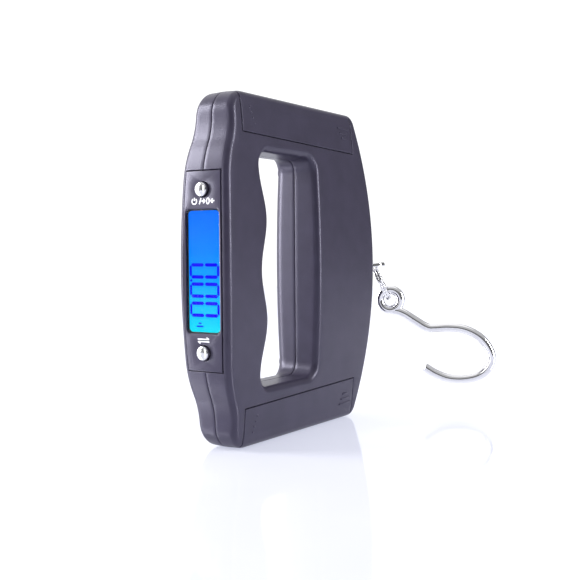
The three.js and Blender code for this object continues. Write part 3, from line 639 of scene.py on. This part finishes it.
def cut_panel_lines(bm, side):
    """Edges round the panel's opening, on its outline and at each rounding step beside it."""
    lift_crown(bm, side, 1)
    for step in SEAM_STEPS:
        slice_skin(bm, (0, side * (PANEL_SIDE + PANEL_GAP + step), 0), (0, 1, 0), on_hand_side)
        for end in (1, -1):
            slice_skin(bm, (0, 0, end * (PANEL_TOP + PANEL_GAP + step)), (0, 0, 1), on_hand_side)
    lift_crown(bm, side, -1)
    remove_faces(bm, lambda c: on_hand_side(c) and panel_distance(c) < 0)


def seam_distance(point):
    return abs(point.y) - HALF_SEAM


def opening_distance(point):
    """Distance from the parting plane and, on the hand side, from the panel's opening."""
    near = seam_distance(point)
    if on_hand_side(point):
        near = min(near, max(panel_distance(point), 0))
    return near


def cut_bush_hole(piece):
    tool = cylinder(BUSH_HOLE, BUSH_CUT_START, BUSH_CUT_END, (0, 0, EYE_Z), (1, 0, 0), 56)
    return combine(piece, "DIFFERENCE", tool)


def make_front_shell():
    bm = shell_skin(-1, FRONT_FILLET, FRONT_HOLE_FILLET)
    for end in (1, -1):
        cut_door_lines(bm, end, DOOR_GAP, 1)
        remove_faces(bm, lambda c: door_distance(c.x, c.z, end, DOOR_GAP) < 0)
    cut_panel_lines(bm, -1)

    def distance(point):
        near = opening_distance(point)
        end = 1 if point.z > 0 else -1
        return min(near, max(door_distance(point.x, point.z, end, DOOR_GAP), 0))

    thicken(bm, WALL, distance)
    return cut_bush_hole(finish_mesh(bm, "front_shell_skin", "handle", "shell", ["front_shell"]))


def make_rear_shell():
    bm = shell_skin(1, REAR_FILLET, REAR_HOLE_FILLET)
    cut_panel_lines(bm, 1)
    thicken(bm, WALL, opening_distance)
    return cut_bush_hole(finish_mesh(bm, "rear_shell_skin", "handle", "shell", ["rear_shell"]))


def make_door(name, end):
    bm = shell_skin(-1, FRONT_FILLET, FRONT_HOLE_FILLET)
    remove_faces(bm, lambda c: c.z * end < DOOR_SKIN_Z)
    cut_door_lines(bm, end, 0.0, -1)
    remove_faces(bm, lambda c: door_distance(c.x, c.z, end) > 0)

    def distance(point):
        return min(seam_distance(point), max(-door_distance(point.x, point.z, end), 0))

    thicken(bm, DOOR_WALL, distance)
    node = f"battery_door_{name}"
    return finish_mesh(bm, node + "_skin", f"{name}_door", "shell", [node])


# ---------- inside of the shells and doors
BAY_LEFT, BAY_RIGHT, BAY_WALL = -26.2, 28.0, 1.2
PARTITION_Z, PARTITION_WALL, PARTITION_BACK = 44.0, 1.0, 8.2
RIB_END, RIB_FRONT, RIB_BACK = 57.6, -4.8, 7.2
BOSS_RADIUS, BOSS_SHORT, WELL_END = 3.8, 0.4, 12
MARK_PROUD, MARK_FIRST_Z, MARK_ROOT = 0.25, 49.3, 1
DOT_COUNT, DOT_PITCH, DOT_X, DOT_SLANT, DOT_RADIUS = 4, 1.8, -31.5, 0.73, 0.45
BAR_COUNT, BAR_PITCH, BAR_X, BAR_HALF_WIDTH, BAR_GROWTH, BAR_HALF_HEIGHT = 3, 1.9, 28.6, 1.8, 1.2, 0.35
BAR_START, BAR_BEVEL = 0.3, 0.1
TAB_X, TAB_HALF_WIDTH, TAB_REACH, TAB_ROOT = 18.0, 3.0, 2.4, 2
TAB_FRONT, TAB_BACK = 0.5, 1.6


def ends(end, near, far):
    """The same stretch of Z at the upper (+1) or the lower (-1) end, lowest value first."""
    return sorted((end * near, end * far))


def add_screw_bosses(rear):
    for x, z in SCREW_PLACES:
        top = HALF_THICKNESS - fall(abs(z) + BOSS_RADIUS) - BOSS_SHORT
        boss = cylinder(BOSS_RADIUS, HALF_SEAM, top, (x, 0, z), (0, 1, 0), 32)
        combine(rear, "UNION", boss)
        well = cylinder(COUNTERBORE, SCREW_SEAT, WELL_END, (x, 0, z), (0, 1, 0), 40)
        combine(rear, "DIFFERENCE", well)


def add_bay_ribs(rear, end):
    """The walls that close a battery bay off from the rest of the handle."""
    left, right = BAY_LEFT - BAY_WALL, BAY_RIGHT + BAY_WALL
    partition_z = ends(end, PARTITION_Z, PARTITION_Z + PARTITION_WALL)
    combine(rear, "UNION", add_box(bmesh.new(), (left, right), (RIB_FRONT, PARTITION_BACK), partition_z))
    for x in ((left, BAY_LEFT), (BAY_RIGHT, right)):
        rib_z = ends(end, PARTITION_Z + PARTITION_WALL / 2, RIB_END)
        combine(rear, "UNION", add_box(bmesh.new(), x, (RIB_FRONT, RIB_BACK), rib_z))


def add_door_marks(door, end):
    """Raised marks: a slanted row of dots at one end and a widening stack of bars at the other."""
    marks = bmesh.new()
    slopes = np.radians(np.arange(0, 90, 15))
    dome = [(DOT_RADIUS * math.cos(a), MARK_PROUD * math.sin(a)) for a in slopes]
    profile = [(0, -MARK_ROOT), (DOT_RADIUS, -MARK_ROOT), *dome, (0, MARK_PROUD)]
    for i in range(DOT_COUNT):
        z = MARK_FIRST_Z + i * DOT_PITCH
        face = -(HALF_THICKNESS - fall(z))
        add_lathe(marks, profile, (DOT_X - i * DOT_SLANT, face, end * z), (0, -1, 0), 24)
    for i in range(BAR_COUNT):
        z = MARK_FIRST_Z + BAR_PITCH * (i + BAR_START)
        face = -(HALF_THICKNESS - fall(z))
        half = BAR_HALF_WIDTH + i * BAR_GROWTH
        add_box(marks, (BAR_X - half, BAR_X + half), (face - MARK_PROUD, face + MARK_ROOT),
                ends(end, z - BAR_HALF_HEIGHT, z + BAR_HALF_HEIGHT), BAR_BEVEL)
    combine(door, "UNION", marks)


def add_door_tabs(door, end):
    """Two tongues that reach under the shell beyond the door's inner edge, each on a short root."""
    inner = HALF_THICKNESS - fall(DOOR_INNER) - DOOR_WALL
    for x in (-TAB_X, TAB_X):
        edge = DOOR_INNER + DOOR_TAPER * x
        width = (x - TAB_HALF_WIDTH, x + TAB_HALF_WIDTH)
        tongue_z = ends(end, edge - TAB_REACH, edge + TAB_ROOT)
        combine(door, "UNION", add_box(bmesh.new(), width, (TAB_FRONT - inner, TAB_BACK - inner), tongue_z))
        root_z = ends(end, edge + 0.6, edge + TAB_ROOT - 0.1)
        combine(door, "UNION", add_box(bmesh.new(), width, (-inner - 0.3, TAB_BACK - 0.05 - inner), root_z))


# ---------- display panel, window and buttons
LCD_FRONT, LCD_BACK, LCD_SIDE, LCD_TOP, LCD_CORNER = -49.1, -47.8, 6.4, 19.9, 0.3
PANE_FRONT, PANE_BACK, PANE_SIDE, PANE_TOP, PANE_CORNER = -50.0, -49.4, 6.8, 20.2, 1.3
BORDER_FRONT, BORDER_BACK, BORDER_CORNER = -49.32, -49.15, 1.4
BORDER_GAP, BORDER_OVERLAP = 0.05, 0.03


def hand_x(z, depth=0.0):
    """X of the hand side's surface at height z, or of a point some depth under it."""
    return HAND_APEX + HAND_RADIUS - math.sqrt((HAND_RADIUS - depth) ** 2 - z * z)


def rounded_box(half_y, half_z, corner, steps=8):
    """A rectangle with round corners, as (y, z) points."""
    points = []
    for cy, cz, start in ((1, 1, 0), (-1, 1, 90), (-1, -1, 180), (1, -1, 270)):
        for k in range(steps + 1):
            angle = math.radians(start + 90 * k / steps)
            points.append((cy * (half_y - corner) + corner * math.cos(angle),
                           cz * (half_z - corner) + corner * math.sin(angle)))
    return points


def panel_outline(inset):
    """The panel's outline, whose long sides follow the crown, moved inwards by inset."""
    top = PANEL_TOP - inset
    side = [(PANEL_SIDE - fall(z) - inset, z) for z in np.linspace(-top, top, 81)]
    return side + [(-y, z) for y, z in reversed(side)]


def panel_edge_distance(y, z):
    """Distance to the nearest edge of the panel's face, negative off the panel and in its openings."""
    outside = min(PANEL_SIDE - fall(z) - abs(y), PANEL_TOP - abs(z))
    qy, qz = abs(y) - (WINDOW_SIDE - WINDOW_CORNER), abs(z) - (WINDOW_TOP - WINDOW_CORNER)
    window = math.hypot(max(qy, 0), max(qz, 0)) + min(max(qy, qz), 0) - WINDOW_CORNER
    hole = math.hypot(y, abs(z) - BUTTON_Z) - BUTTON_HOLE
    return min(outside, window, hole)


def make_panel():
    """The panel's curved face with its window and button holes, cut from one flat triangulation."""
    loops = []
    for step in SEAM_STEPS:
        loops.append(panel_outline(step))
        loops.append(rounded_box(WINDOW_SIDE + step, WINDOW_TOP + step, WINDOW_CORNER + step))
        for z in (BUTTON_Z, -BUTTON_Z):
            loops.append([(y, z + v) for y, v in circle(BUTTON_HOLE + step, 48)])
    coords, edges = [], []
    for loop in loops:
        first = len(coords)
        coords += [Vector(p) for p in loop]
        edges += [(first + k, first + (k + 1) % len(loop)) for k in range(len(loop))]
    verts, _, faces, *_ = delaunay_2d_cdt(coords, edges, [], 0, 1e-5)
    bm = bmesh.new()
    base = bm.verts.layers.float_vector.new("base")
    made = []
    for y, z in verts:
        vertex = bm.verts.new((hand_x(z), y, z))
        vertex[base] = Vector((-1, 0, z / HAND_RADIUS)).normalized()
        made.append(vertex)
    for face in faces:
        bm.faces.new([made[k] for k in face])
    remove_faces(bm, lambda c: panel_edge_distance(c.y, c.z) < 0)
    bmesh.ops.recalc_face_normals(bm, faces=bm.faces)
    if next(iter(bm.faces)).normal.x > 0:
        bmesh.ops.reverse_faces(bm, faces=bm.faces)
    thicken(bm, PANEL_DEPTH, lambda p: panel_edge_distance(p.y, p.z))
    return finish_mesh(bm, "display_panel_face", "handle", "panel", ["display_panel"])


def add_plate(bm, outline, x):
    """A flat plate with this (y, z) outline between two X values."""
    return join_rings(bm, [[bm.verts.new((at, y, z)) for y, z in outline] for at in x])


def make_display():
    """The lit display glass, the clear pane over it and the dark border printed between them."""
    glass_outline = rounded_box(LCD_SIDE, LCD_TOP, LCD_CORNER)
    glass = add_plate(bmesh.new(), glass_outline, (LCD_FRONT, LCD_BACK))
    finish_mesh(glass, "lcd_glass_plate", "handle", "glow", ["lcd_glass"])
    pane_outline = rounded_box(PANE_SIDE, PANE_TOP, PANE_CORNER)
    pane = add_plate(bmesh.new(), pane_outline, (PANE_FRONT, PANE_BACK))
    finish_mesh(pane, "window_pane", "handle", "clear", ["lcd_window"])
    border = bmesh.new()
    outer = rounded_box(WINDOW_SIDE - BORDER_GAP, WINDOW_TOP - BORDER_GAP, WINDOW_CORNER)
    inner = rounded_box(LCD_SIDE - BORDER_OVERLAP, LCD_TOP - BORDER_OVERLAP, BORDER_CORNER)
    rims = ((outer, BORDER_FRONT), (inner, BORDER_FRONT), (inner, BORDER_BACK), (outer, BORDER_BACK))
    join_rings(border, [[border.verts.new((x, y, z)) for y, z in rim] for rim, x in rims], True)
    finish_mesh(border, "window_border", "handle", "mask")


SEGMENT_FRONT, SEGMENT_BACK = -49.17, -49.11
DIGIT_HALF_Y, DIGIT_HALF_Z = 6.05, 2.55
DIGIT_Z = (0.2, -6.1, -12.4)
LONG_BAR, END_BAR, BAR_SPLIT = 1.15, 0.85, 0.12
POINT_Y, POINT_RADIUS = 5.5, 0.45
WEIGHT_Y, WEIGHT_Z, WEIGHT_HALF_WIDTHS, WEIGHT_BAR = 2.0, -17.0, (0.7, 1.5), 0.5


def add_bar(bm, start, end, width):
    """A display segment with mitred ends from start to end, given as (y, z)."""
    along = (Vector(end) - Vector(start)).normalized()
    across = Vector((-along.y, along.x)) * width / 2
    tip = along * width / 2
    start, end = Vector(start), Vector(end)
    outline = [start, start + tip + across, end - tip + across,
               end, end - tip - across, start + tip - across]
    add_plate(bm, [tuple(p) for p in outline], (SEGMENT_FRONT, SEGMENT_BACK))


def make_segments():
    """Three zeros lying along the grip, a decimal point and a small unit mark."""
    bm = bmesh.new()
    y_mid = DIGIT_HALF_Y - END_BAR / 2
    z_mid = DIGIT_HALF_Z - LONG_BAR / 2
    for z in DIGIT_Z:
        for half in (1, -1):
            for edge in (z + z_mid, z - z_mid):
                add_bar(bm, (half * BAR_SPLIT, edge), (half * (y_mid - BAR_SPLIT), edge), LONG_BAR)
            add_bar(bm, (half * y_mid, z - z_mid + BAR_SPLIT), (half * y_mid, z + z_mid - BAR_SPLIT), END_BAR)
    point_z = (DIGIT_Z[0] + DIGIT_Z[1]) / 2
    point = [(POINT_Y + y, point_z + z) for y, z in circle(POINT_RADIUS, 20)]
    add_plate(bm, point, (SEGMENT_FRONT, SEGMENT_BACK))
    for k, half in enumerate(WEIGHT_HALF_WIDTHS):
        add_bar(bm, (WEIGHT_Y - half, WEIGHT_Z - k), (WEIGHT_Y + half, WEIGHT_Z - k), WEIGHT_BAR)
    finish_mesh(bm, "display_segments", "handle", "segment")


SIGN_PROUD, SIGN_ROOT, SIGN_LINE, THIN_LINE = 0.04, 0.05, 0.42, 0.36
TARE_SIGN_Z, UNIT_SIGN_Z = 22.9, -22.5
POWER_Y, POWER_RADIUS, POWER_GAP = 3.2, 0.95, 0.7
ZERO_Y, ZERO_HALF_WIDTH, ZERO_TURN = -2.4, 0.55, 1.96 * math.pi


def add_stroke(bm, points, width=SIGN_LINE):
    """A flat printed line through (y, z) points on the panel's face."""
    points = [Vector(p) for p in points]
    left, right = [], []
    for i, point in enumerate(points):
        before, after = points[max(i - 1, 0)], points[min(i + 1, len(points) - 1)]
        along = (after - before).normalized()
        across = Vector((-along.y, along.x)) * width / 2
        left.append(point + across)
        right.append(point - across)
    rows = []
    for y, z in [*left, *reversed(right)]:
        x = hand_x(z)
        rows.append((bm.verts.new((x - SIGN_PROUD, y, z)), bm.verts.new((x + SIGN_ROOT, y, z))))
    count = len(points)
    for k in range(count - 1):
        a, b, c, d = k, k + 1, 2 * count - 2 - k, 2 * count - 1 - k
        bm.faces.new([rows[i][0] for i in (a, b, c, d)])
        bm.faces.new([rows[i][1] for i in (d, c, b, a)])
    for k in range(2 * count):
        n = (k + 1) % (2 * count)
        bm.faces.new((rows[k][0], rows[n][0], rows[n][1], rows[k][1]))


def oval(y, z, half_width, half_height, angles):
    return [(y + half_width * math.sin(a), z + half_height * math.cos(a)) for a in angles]


def make_signs():
    """Printed signs: power and zero by the upper button, a two-way arrow by the lower one."""
    bm = bmesh.new()
    z = TARE_SIGN_Z
    add_stroke(bm, oval(POWER_Y, z, POWER_RADIUS, POWER_RADIUS,
                        np.linspace(POWER_GAP, 2 * math.pi - POWER_GAP, 20)))
    add_stroke(bm, [(POWER_Y, z + 1.15), (POWER_Y, z + 0.15)])
    add_stroke(bm, [(1.1, z - 1.0), (0.4, z + 1.0)])
    for side in (1, -1):
        tail, barb, tip = (ZERO_Y + side * reach for reach in (2.6, 1.9, 1.15))
        add_stroke(bm, [(tail, z), (ZERO_Y + side * 1.1, z)])
        add_stroke(bm, [(barb, z + 0.7), (tip, z), (barb, z - 0.7)])
    add_stroke(bm, oval(ZERO_Y, z, ZERO_HALF_WIDTH, POWER_RADIUS, np.linspace(0, ZERO_TURN, 24)), THIN_LINE)
    for side in (1, -1):
        level = UNIT_SIGN_Z + side * 0.4
        add_stroke(bm, [(side * 2.4, level), (-side * 2.1, level)], THIN_LINE)
        add_stroke(bm, [(-side * 1.3, level + side * 0.6), (-side * 2.3, level)], THIN_LINE)
    finish_mesh(bm, "panel_signs", "handle", "print")


DOME_HEIGHT, DOME_SWEEP, RIM_STEP = 0.75, math.pi / 2 * 0.86, 0.12
FLANGE_RADIUS, FLANGE_TOP, FLANGE_FOOT = 3.4, -3.7, -4.4


def make_button(name, end):
    """A domed cap on a stem whose flange keeps it behind the panel."""
    dome = [(BUTTON_CAP * math.sin(a), BUTTON_PROUD - DOME_HEIGHT * (1 - math.cos(a)))
            for a in np.linspace(0, DOME_SWEEP, 9)]
    stem = [(BUTTON_CAP, BUTTON_PROUD - DOME_HEIGHT - RIM_STEP), (BUTTON_CAP, FLANGE_TOP)]
    flange = [(FLANGE_RADIUS, FLANGE_TOP), (FLANGE_RADIUS, FLANGE_FOOT), (0, FLANGE_FOOT)]
    centre = (hand_x(BUTTON_Z), 0, end * BUTTON_Z)
    bm = add_lathe(bmesh.new(), dome + stem + flange, centre, (-1, 0, 0), 64)
    finish_mesh(bm, f"{name}_button_cap", f"{name}_button_body", "button", [f"{name}_button"])


# ---------- swivel eye, split ring and hook
EYE_X, EYE_OUTER, EYE_INNER, EYE_THICK, EYE_TILT = 68.0, 5.2, 3.5, 1.8, math.radians(-11)
NECK_HALF_WIDTH, NECK_OVERLAP, NECK_REACH, NECK_BEVEL = 2.4, 2, 4.2, 0.4
ROD_RADIUS, ROD_START, ROD_END = 2.0, 13.8, 61.0
RING_INNER, RING_OUTER, RING_WIDTH, RING_OUT, RING_DOWN = 8.0, 9.5, 2.1, 4.9, 6.7
RING_TURN, RING_START, STEP_START, STEP_LENGTH = 705, math.radians(120), 338, 30
TURN_GAP, TURN_ROUND = 0.05, 0.3
HOOK_WIRE, HOOK_EYE, HOOK_DROP = 2.0, 4.45, 9.75
HOOK_SIDES, HOOK_BEVEL, SHANK_TAPER, TAPER_STEPS = 40, 0.25, 0.15, 8
BUSH_START, BUSH_FLANGE_END, BUSH_END = 46.3, 47.9, 53.5
BUSH_BORE, BUSH_RADIUS, BUSH_FLANGE, BUSH_ROUND = 2.3, 4.2, 5.4, 0.35
HEADING, LEAN = math.radians(26.24), math.radians(25.8)
OUT = Vector((math.cos(HEADING), math.sin(HEADING), 0))
ACROSS = Vector((math.sin(HEADING), -math.cos(HEADING), 0))
UP = Vector((0, 0, 1))
DOWN = ACROSS * math.sin(LEAN) - UP * math.cos(LEAN)
RING_CENTRE = Vector((EYE_X, 0, EYE_Z)) + OUT * RING_OUT + DOWN * RING_DOWN
HOOK_CENTRE = RING_CENTRE + DOWN * HOOK_DROP
SHANK = [(-0.4, -4.43), (3.2, -4.9), (6.2, -6.1), (10.8, -9.0), (15.0, -11.6),
         (17.0, -12.35), (19.2, -12.35)]
BOWL = [(25.0, -12.05), (32.0, -12.9), (38.4, -16.2), (42.2, -20.9), (43.5, -25.4), (42.0, -29.7),
        (38.2, -32.9), (31.6, -34.5), (25.0, -34.2), (19.4, -32.1), (14.8, -29.3)]


def make_swivel():
    """A flat eye with a neck and a rod that reaches through the bush into the load cell."""
    turn = Matrix.Rotation(EYE_TILT, 3, "X")
    half = EYE_THICK / 2
    corners = [(EYE_INNER, -half), (EYE_OUTER, -half), (EYE_OUTER, half), (EYE_INNER, half)]
    bm = add_lathe(bmesh.new(), rounded(corners, 0.5, True), (EYE_X, 0, EYE_Z), turn @ UP, 72)
    eye = finish_mesh(bm, "swivel_eye_loop", "swivel", "chrome", ["swivel_eye"])
    neck = add_box(bmesh.new(), (ROD_END - NECK_OVERLAP, EYE_X - NECK_REACH),
                   (-NECK_HALF_WIDTH, NECK_HALF_WIDTH), (-half, half), NECK_BEVEL)
    for vertex in neck.verts:
        vertex.co = turn @ vertex.co + Vector((0, 0, EYE_Z))
    combine(eye, "UNION", neck)
    rod = [(0, ROD_START), (ROD_RADIUS - 0.3, ROD_START), (ROD_RADIUS, ROD_START + 0.3),
           (ROD_RADIUS, ROD_END - 0.4), (ROD_RADIUS - 0.4, ROD_END), (0, ROD_END)]
    combine(eye, "UNION", add_lathe(bmesh.new(), rod, (0, 0, EYE_Z), (1, 0, 0), 48))


def make_ring():
    """Two turns of flattened wire side by side, stepping over from one to the other."""
    axis = OUT.cross(DOWN)
    half_width = (RING_WIDTH / 2 - 0.03) / 2
    half_thick = (RING_OUTER - RING_INNER) / 2
    angles = np.radians(np.linspace(0, RING_TURN, 236))

    def radial(angle):
        return OUT * math.cos(angle + RING_START) + DOWN * math.sin(angle + RING_START)

    path = []
    for angle in angles:
        share = min(max((math.degrees(angle) - STEP_START) / STEP_LENGTH, 0), 1)
        offset = (share * share * (3 - 2 * share) - 0.5) * (2 * half_width + TURN_GAP)
        path.append(RING_CENTRE + radial(angle) * (RING_INNER + RING_OUTER) / 2 + axis * offset)
    corners = [(-half_thick, -half_width), (half_thick, -half_width),
               (half_thick, half_width), (-half_thick, half_width)]
    section = rounded(corners, TURN_ROUND, True)
    bm = add_sweep(bmesh.new(), path, lambda i: section, lambda i, t: radial(angles[i]))
    finish_mesh(bm, "split_ring_turns", "ring", "chrome", ["split_ring"])


def make_hook():
    """One wire: a closed eye, a straight shank, a bend and an open bowl with a bevelled end."""
    around = np.radians(np.arange(0, 360, 5))
    eye = [HOOK_CENTRE + ACROSS * HOOK_EYE * math.cos(a) + UP * HOOK_EYE * math.sin(a) for a in around]
    bm = add_sweep(bmesh.new(), eye, lambda i: circle(HOOK_WIRE, HOOK_SIDES), lambda i, t: OUT, True)
    piece = finish_mesh(bm, "hook_wire", "hook_body", "chrome", ["hook"])
    route = smooth_path([(u, v, 0) for u, v in SHANK + BOWL], 10)
    path = [HOOK_CENTRE + ACROSS * p.x + UP * p.y for p in route]
    path.insert(-1, path[-1] + (path[-2] - path[-1]).normalized() * HOOK_BEVEL)
    last = len(path) - 1

    def section(i):
        narrower = HOOK_BEVEL if i == last else SHANK_TAPER * max(1 - i / TAPER_STEPS, 0)
        return circle(HOOK_WIRE - narrower, HOOK_SIDES)

    return combine(piece, "UNION", add_sweep(bmesh.new(), path, section, lambda i, t: OUT))


def make_bush():
    corners = [(BUSH_BORE, BUSH_START), (BUSH_FLANGE, BUSH_START), (BUSH_FLANGE, BUSH_FLANGE_END),
               (BUSH_RADIUS, BUSH_FLANGE_END), (BUSH_RADIUS, BUSH_END), (BUSH_BORE, BUSH_END)]
    bm = add_lathe(bmesh.new(), rounded(corners, BUSH_ROUND, True), (0, 0, EYE_Z), (1, 0, 0), 64)
    finish_mesh(bm, "hook_bush_ring", "handle", "nylon", ["hook_bush"])


# ---------- batteries and their springs
BATTERY_LENGTH, BATTERY_RADIUS, BATTERY_Y, BATTERY_Z = 44.5, 5.25, 0.4, 51.2
NUB_RADIUS, NUB_LENGTH = 1.9, 1.0
CELL_START, CELL_ROUND, END_MARGIN, BRASS_REACH = 1.1, 0.45, 0.7, 12
SPRING_TURNS, SPRING_WIDE, SPRING_NARROW, SPRING_WIRE = 4, 3.5, 1.8, 0.35
SPRING_BASE, SPRING_TIP, SPRING_POINTS = 26.5, 20.2, 120


def bay_place(end, x):
    """X along a bay; the lower bay is the upper one turned end for end."""
    return x if end > 0 else BAY_LEFT + BAY_RIGHT - x


def make_battery(name, end):
    """An AAA cell: steel ends, a brass edge at the nub's end and a dark wrap."""
    r, length = BATTERY_RADIUS, BATTERY_LENGTH
    origin = (bay_place(end, BAY_LEFT + CELL_START), BATTERY_Y, end * BATTERY_Z)
    corners = [(0, 0), (NUB_RADIUS, 0), (NUB_RADIUS, NUB_LENGTH), (r, NUB_LENGTH), (r, length), (0, length)]
    bm = add_lathe(bmesh.new(), rounded(corners, CELL_ROUND), origin, (end, 0, 0), 56)
    finishes, node = ["wrap", "cell_end", "brass"], f"battery_{name}"
    piece = finish_mesh(bm, node + "_cell", "handle", finishes, [node])
    for face in piece.data.polygons:
        along, y, z = face.center / MM - MIDDLE - Vector(origin)
        if math.hypot(y, z) < r - END_MARGIN:
            face.material_index = finishes.index("cell_end")
        elif abs(along) < BRASS_REACH:
            face.material_index = finishes.index("brass")


def make_spring(name, end):
    """A conical coil that narrows from its plate to the cell."""
    def point(k):
        t = k / SPRING_POINTS
        angle = 2 * math.pi * SPRING_TURNS * t
        radius = SPRING_WIDE + (SPRING_NARROW - SPRING_WIDE) * t
        x = SPRING_BASE + (SPRING_TIP - SPRING_BASE) * t
        z = BATTERY_Z + radius * math.sin(angle)
        return Vector((bay_place(end, x), BATTERY_Y + radius * math.cos(angle), end * z))

    path = [point(k) for k in range(SPRING_POINTS + 1)]
    section = circle(SPRING_WIRE, 12)
    bm = add_sweep(bmesh.new(), path, lambda i: section, lambda i, t: Vector((1, 0, 0)))
    finish_mesh(bm, f"battery_spring_{name}_coil", "handle", "steel", [f"battery_spring_{name}"])


def dress_frame():
    """Gives the CAD nodes that show as they are their own surfaces."""
    finishes = {
        "contact_plate": "brass", "spring_plate": "steel", "battery_lead": "red_wire",
        "battery_link_wire": "black_wire", "backlight": "diffuser", "zebra_strip": "rubber",
        "main_board": "board", "controller_chip": "chip", "converter_chip": "chip",
        "filter_capacitor": "aluminium", "tare_plunger": "nylon", "unit_plunger": "nylon",
        "tare_switch": "steel", "unit_switch": "steel", "load_cell": "aluminium",
        "load_cell_cable": "grey_wire", "strain_gauge": "film", "cell_screw": "steel",
        "eye_washer": "steel", "eye_nut": "steel", "shell_screw": "steel",
    }
    for name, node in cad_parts.items():
        stem = max((key for key in finishes if name.startswith(key)), key=len, default=None)
        if stem:
            node.data.materials.clear()
            node.data.materials.append(MATERIALS[finishes[stem]])


make_front_shell()
rear_shell = make_rear_shell()
add_screw_bosses(rear_shell)
for name, end in (("upper", 1), ("lower", -1)):
    add_bay_ribs(rear_shell, end)
    door = make_door(name, end)
    add_door_marks(door, end)
    add_door_tabs(door, end)
    make_battery(name, end)
    make_spring(name, end)
make_panel()
make_display()
make_segments()
make_signs()
make_button("tare", 1)
make_button("unit", -1)
make_bush()
make_swivel()
make_ring()
make_hook()
dress_frame()


# ---------- stage, light and camera
BACKDROP_AZIMUTH = 58.0
ROOM_RADIANCE, CEILING_RADIANCE, BACKDROP_RADIANCE = 0.17, 0.6, 1.2
FLOOR_GLOW, FLOOR_MIRROR, FLOOR_HALF, FLOOR_Z = 0.58, 0.28, 1.1, -0.0002
CAMERA_PLACE, CAMERA_LENS = (-288.4, -188.6, 7.3), 57.7
CAMERA_DIP, CAMERA_TURN, CAMERA_ROLL = math.radians(2.553), math.radians(-57.0), math.radians(-0.416)


def heading(azimuth, elevation=0.0):
    """A unit vector; azimuth is counted from +X towards +Y, in degrees."""
    a, e = math.radians(azimuth), math.radians(elevation)
    return Vector((math.cos(a) * math.cos(e), math.sin(a) * math.cos(e), math.sin(e)))


def softbox(name, azimuth, elevation, distance, size, power):
    """A soft rectangular light that faces the middle of the handle."""
    data = bpy.data.lights.new(name, "AREA")
    data.shape = "RECTANGLE"
    data.size, data.size_y = size
    data.energy = power
    light = new_object(name, data)
    light.location = MIDDLE * MM + heading(azimuth, elevation) * distance
    light.rotation_euler = heading(azimuth, elevation).to_track_quat("Z", "Y").to_euler()


def pale_floor():
    """A softly lit white gloss table: mostly matt, with a faint mirror image."""
    material, tree, shader = new_material("pale_floor")
    tree.nodes.remove(shader)
    where = add_node(tree, "TexCoord")
    cloud = add_node(tree, "TexNoise", Scale=30.0)
    tone = add_ramp(tree, [(0.0, (0.40, 0.40, 0.41)), (1.0, (0.44, 0.44, 0.45))])
    matt = add_node(tree, "BsdfDiffuse")
    gloss = add_node(tree, "BsdfGlossy", Roughness=0.07)
    blend = add_node(tree, "MixShader", Fac=FLOOR_MIRROR)
    lit = add_node(tree, "Emission", Color=(0.79, 0.82, 1.0, 1), Strength=FLOOR_GLOW)
    both = add_node(tree, "AddShader")
    connect(tree, (where, "Object", cloud, "Vector"), (cloud, "Fac", tone, "Fac"),
            (tone, "Color", matt, "Color"), (matt, "BSDF", blend, 1), (gloss, "BSDF", blend, 2),
            (blend, "Shader", both, 0), (lit, "Emission", both, 1),
            (both, "Shader", tree.nodes["Material Output"], "Surface"))
    return material


def make_world():
    """A room that is dim at eye level, paler overhead and bright where the backdrop stands."""
    world = bpy.data.worlds.new("studio")
    bpy.context.scene.world = world
    world.use_nodes = True
    tree = world.node_tree
    where = add_node(tree, "TexCoord")
    facing = add_node(tree, "VectorMath")
    facing.operation = "DOT_PRODUCT"
    facing.inputs[1].default_value = heading(BACKDROP_AZIMUTH)
    backdrop = add_node(tree, "MapRange", From_Min=0.45, From_Max=0.65, To_Max=BACKDROP_RADIANCE)
    split = add_node(tree, "SeparateXYZ")
    room = add_node(tree, "MapRange", From_Min=0.3, From_Max=0.6, To_Min=ROOM_RADIANCE,
                    To_Max=CEILING_RADIANCE)
    backdrop.interpolation_type = room.interpolation_type = "SMOOTHSTEP"
    strength = add_node(tree, "Math")
    strength.operation = "MAXIMUM"
    background = tree.nodes["Background"]
    set_inputs(background, Color=(0.98, 0.985, 1.0, 1))
    connect(tree, (where, "Generated", facing, 0), (facing, "Value", backdrop, "Value"),
            (where, "Generated", split, "Vector"), (split, "Z", room, "Value"),
            (backdrop, "Result", strength, 0), (room, "Result", strength, 1),
            (strength, "Value", background, "Strength"))


def make_stage():
    bm = bmesh.new()
    bmesh.ops.create_grid(bm, x_segments=8, y_segments=8, size=FLOOR_HALF)
    mesh = bpy.data.meshes.new("floor")
    bm.to_mesh(mesh)
    bm.free()
    floor = new_object("floor", mesh)
    mesh.materials.append(pale_floor())
    floor.location.z = FLOOR_Z


def make_camera():
    data = bpy.data.cameras.new("camera")
    data.lens = CAMERA_LENS
    data.clip_start, data.clip_end = 0.01, 50.0
    camera = new_object("camera", data)
    camera.location = place(CAMERA_PLACE)
    turn = Euler((math.pi / 2 - CAMERA_DIP, 0, CAMERA_TURN)).to_matrix()
    camera.rotation_euler = (turn @ Matrix.Rotation(CAMERA_ROLL, 3, "Z")).to_euler()
    bpy.context.scene.camera = camera


make_stage()
make_world()
make_camera()
softbox("side_softbox", 123, 17, 1.3, (0.5, 1.1), 34.0)
softbox("top_softbox", 60, 80, 1.6, (2.2, 2.2), 9.0)
softbox("fill_softbox", 178, 14, 1.4, (0.5, 0.9), 4.5)
softbox("strip_softbox", 292, 9, 1.3, (0.14, 1.1), 18.0)
bpy.context.scene.view_settings.view_transform = "Standard"
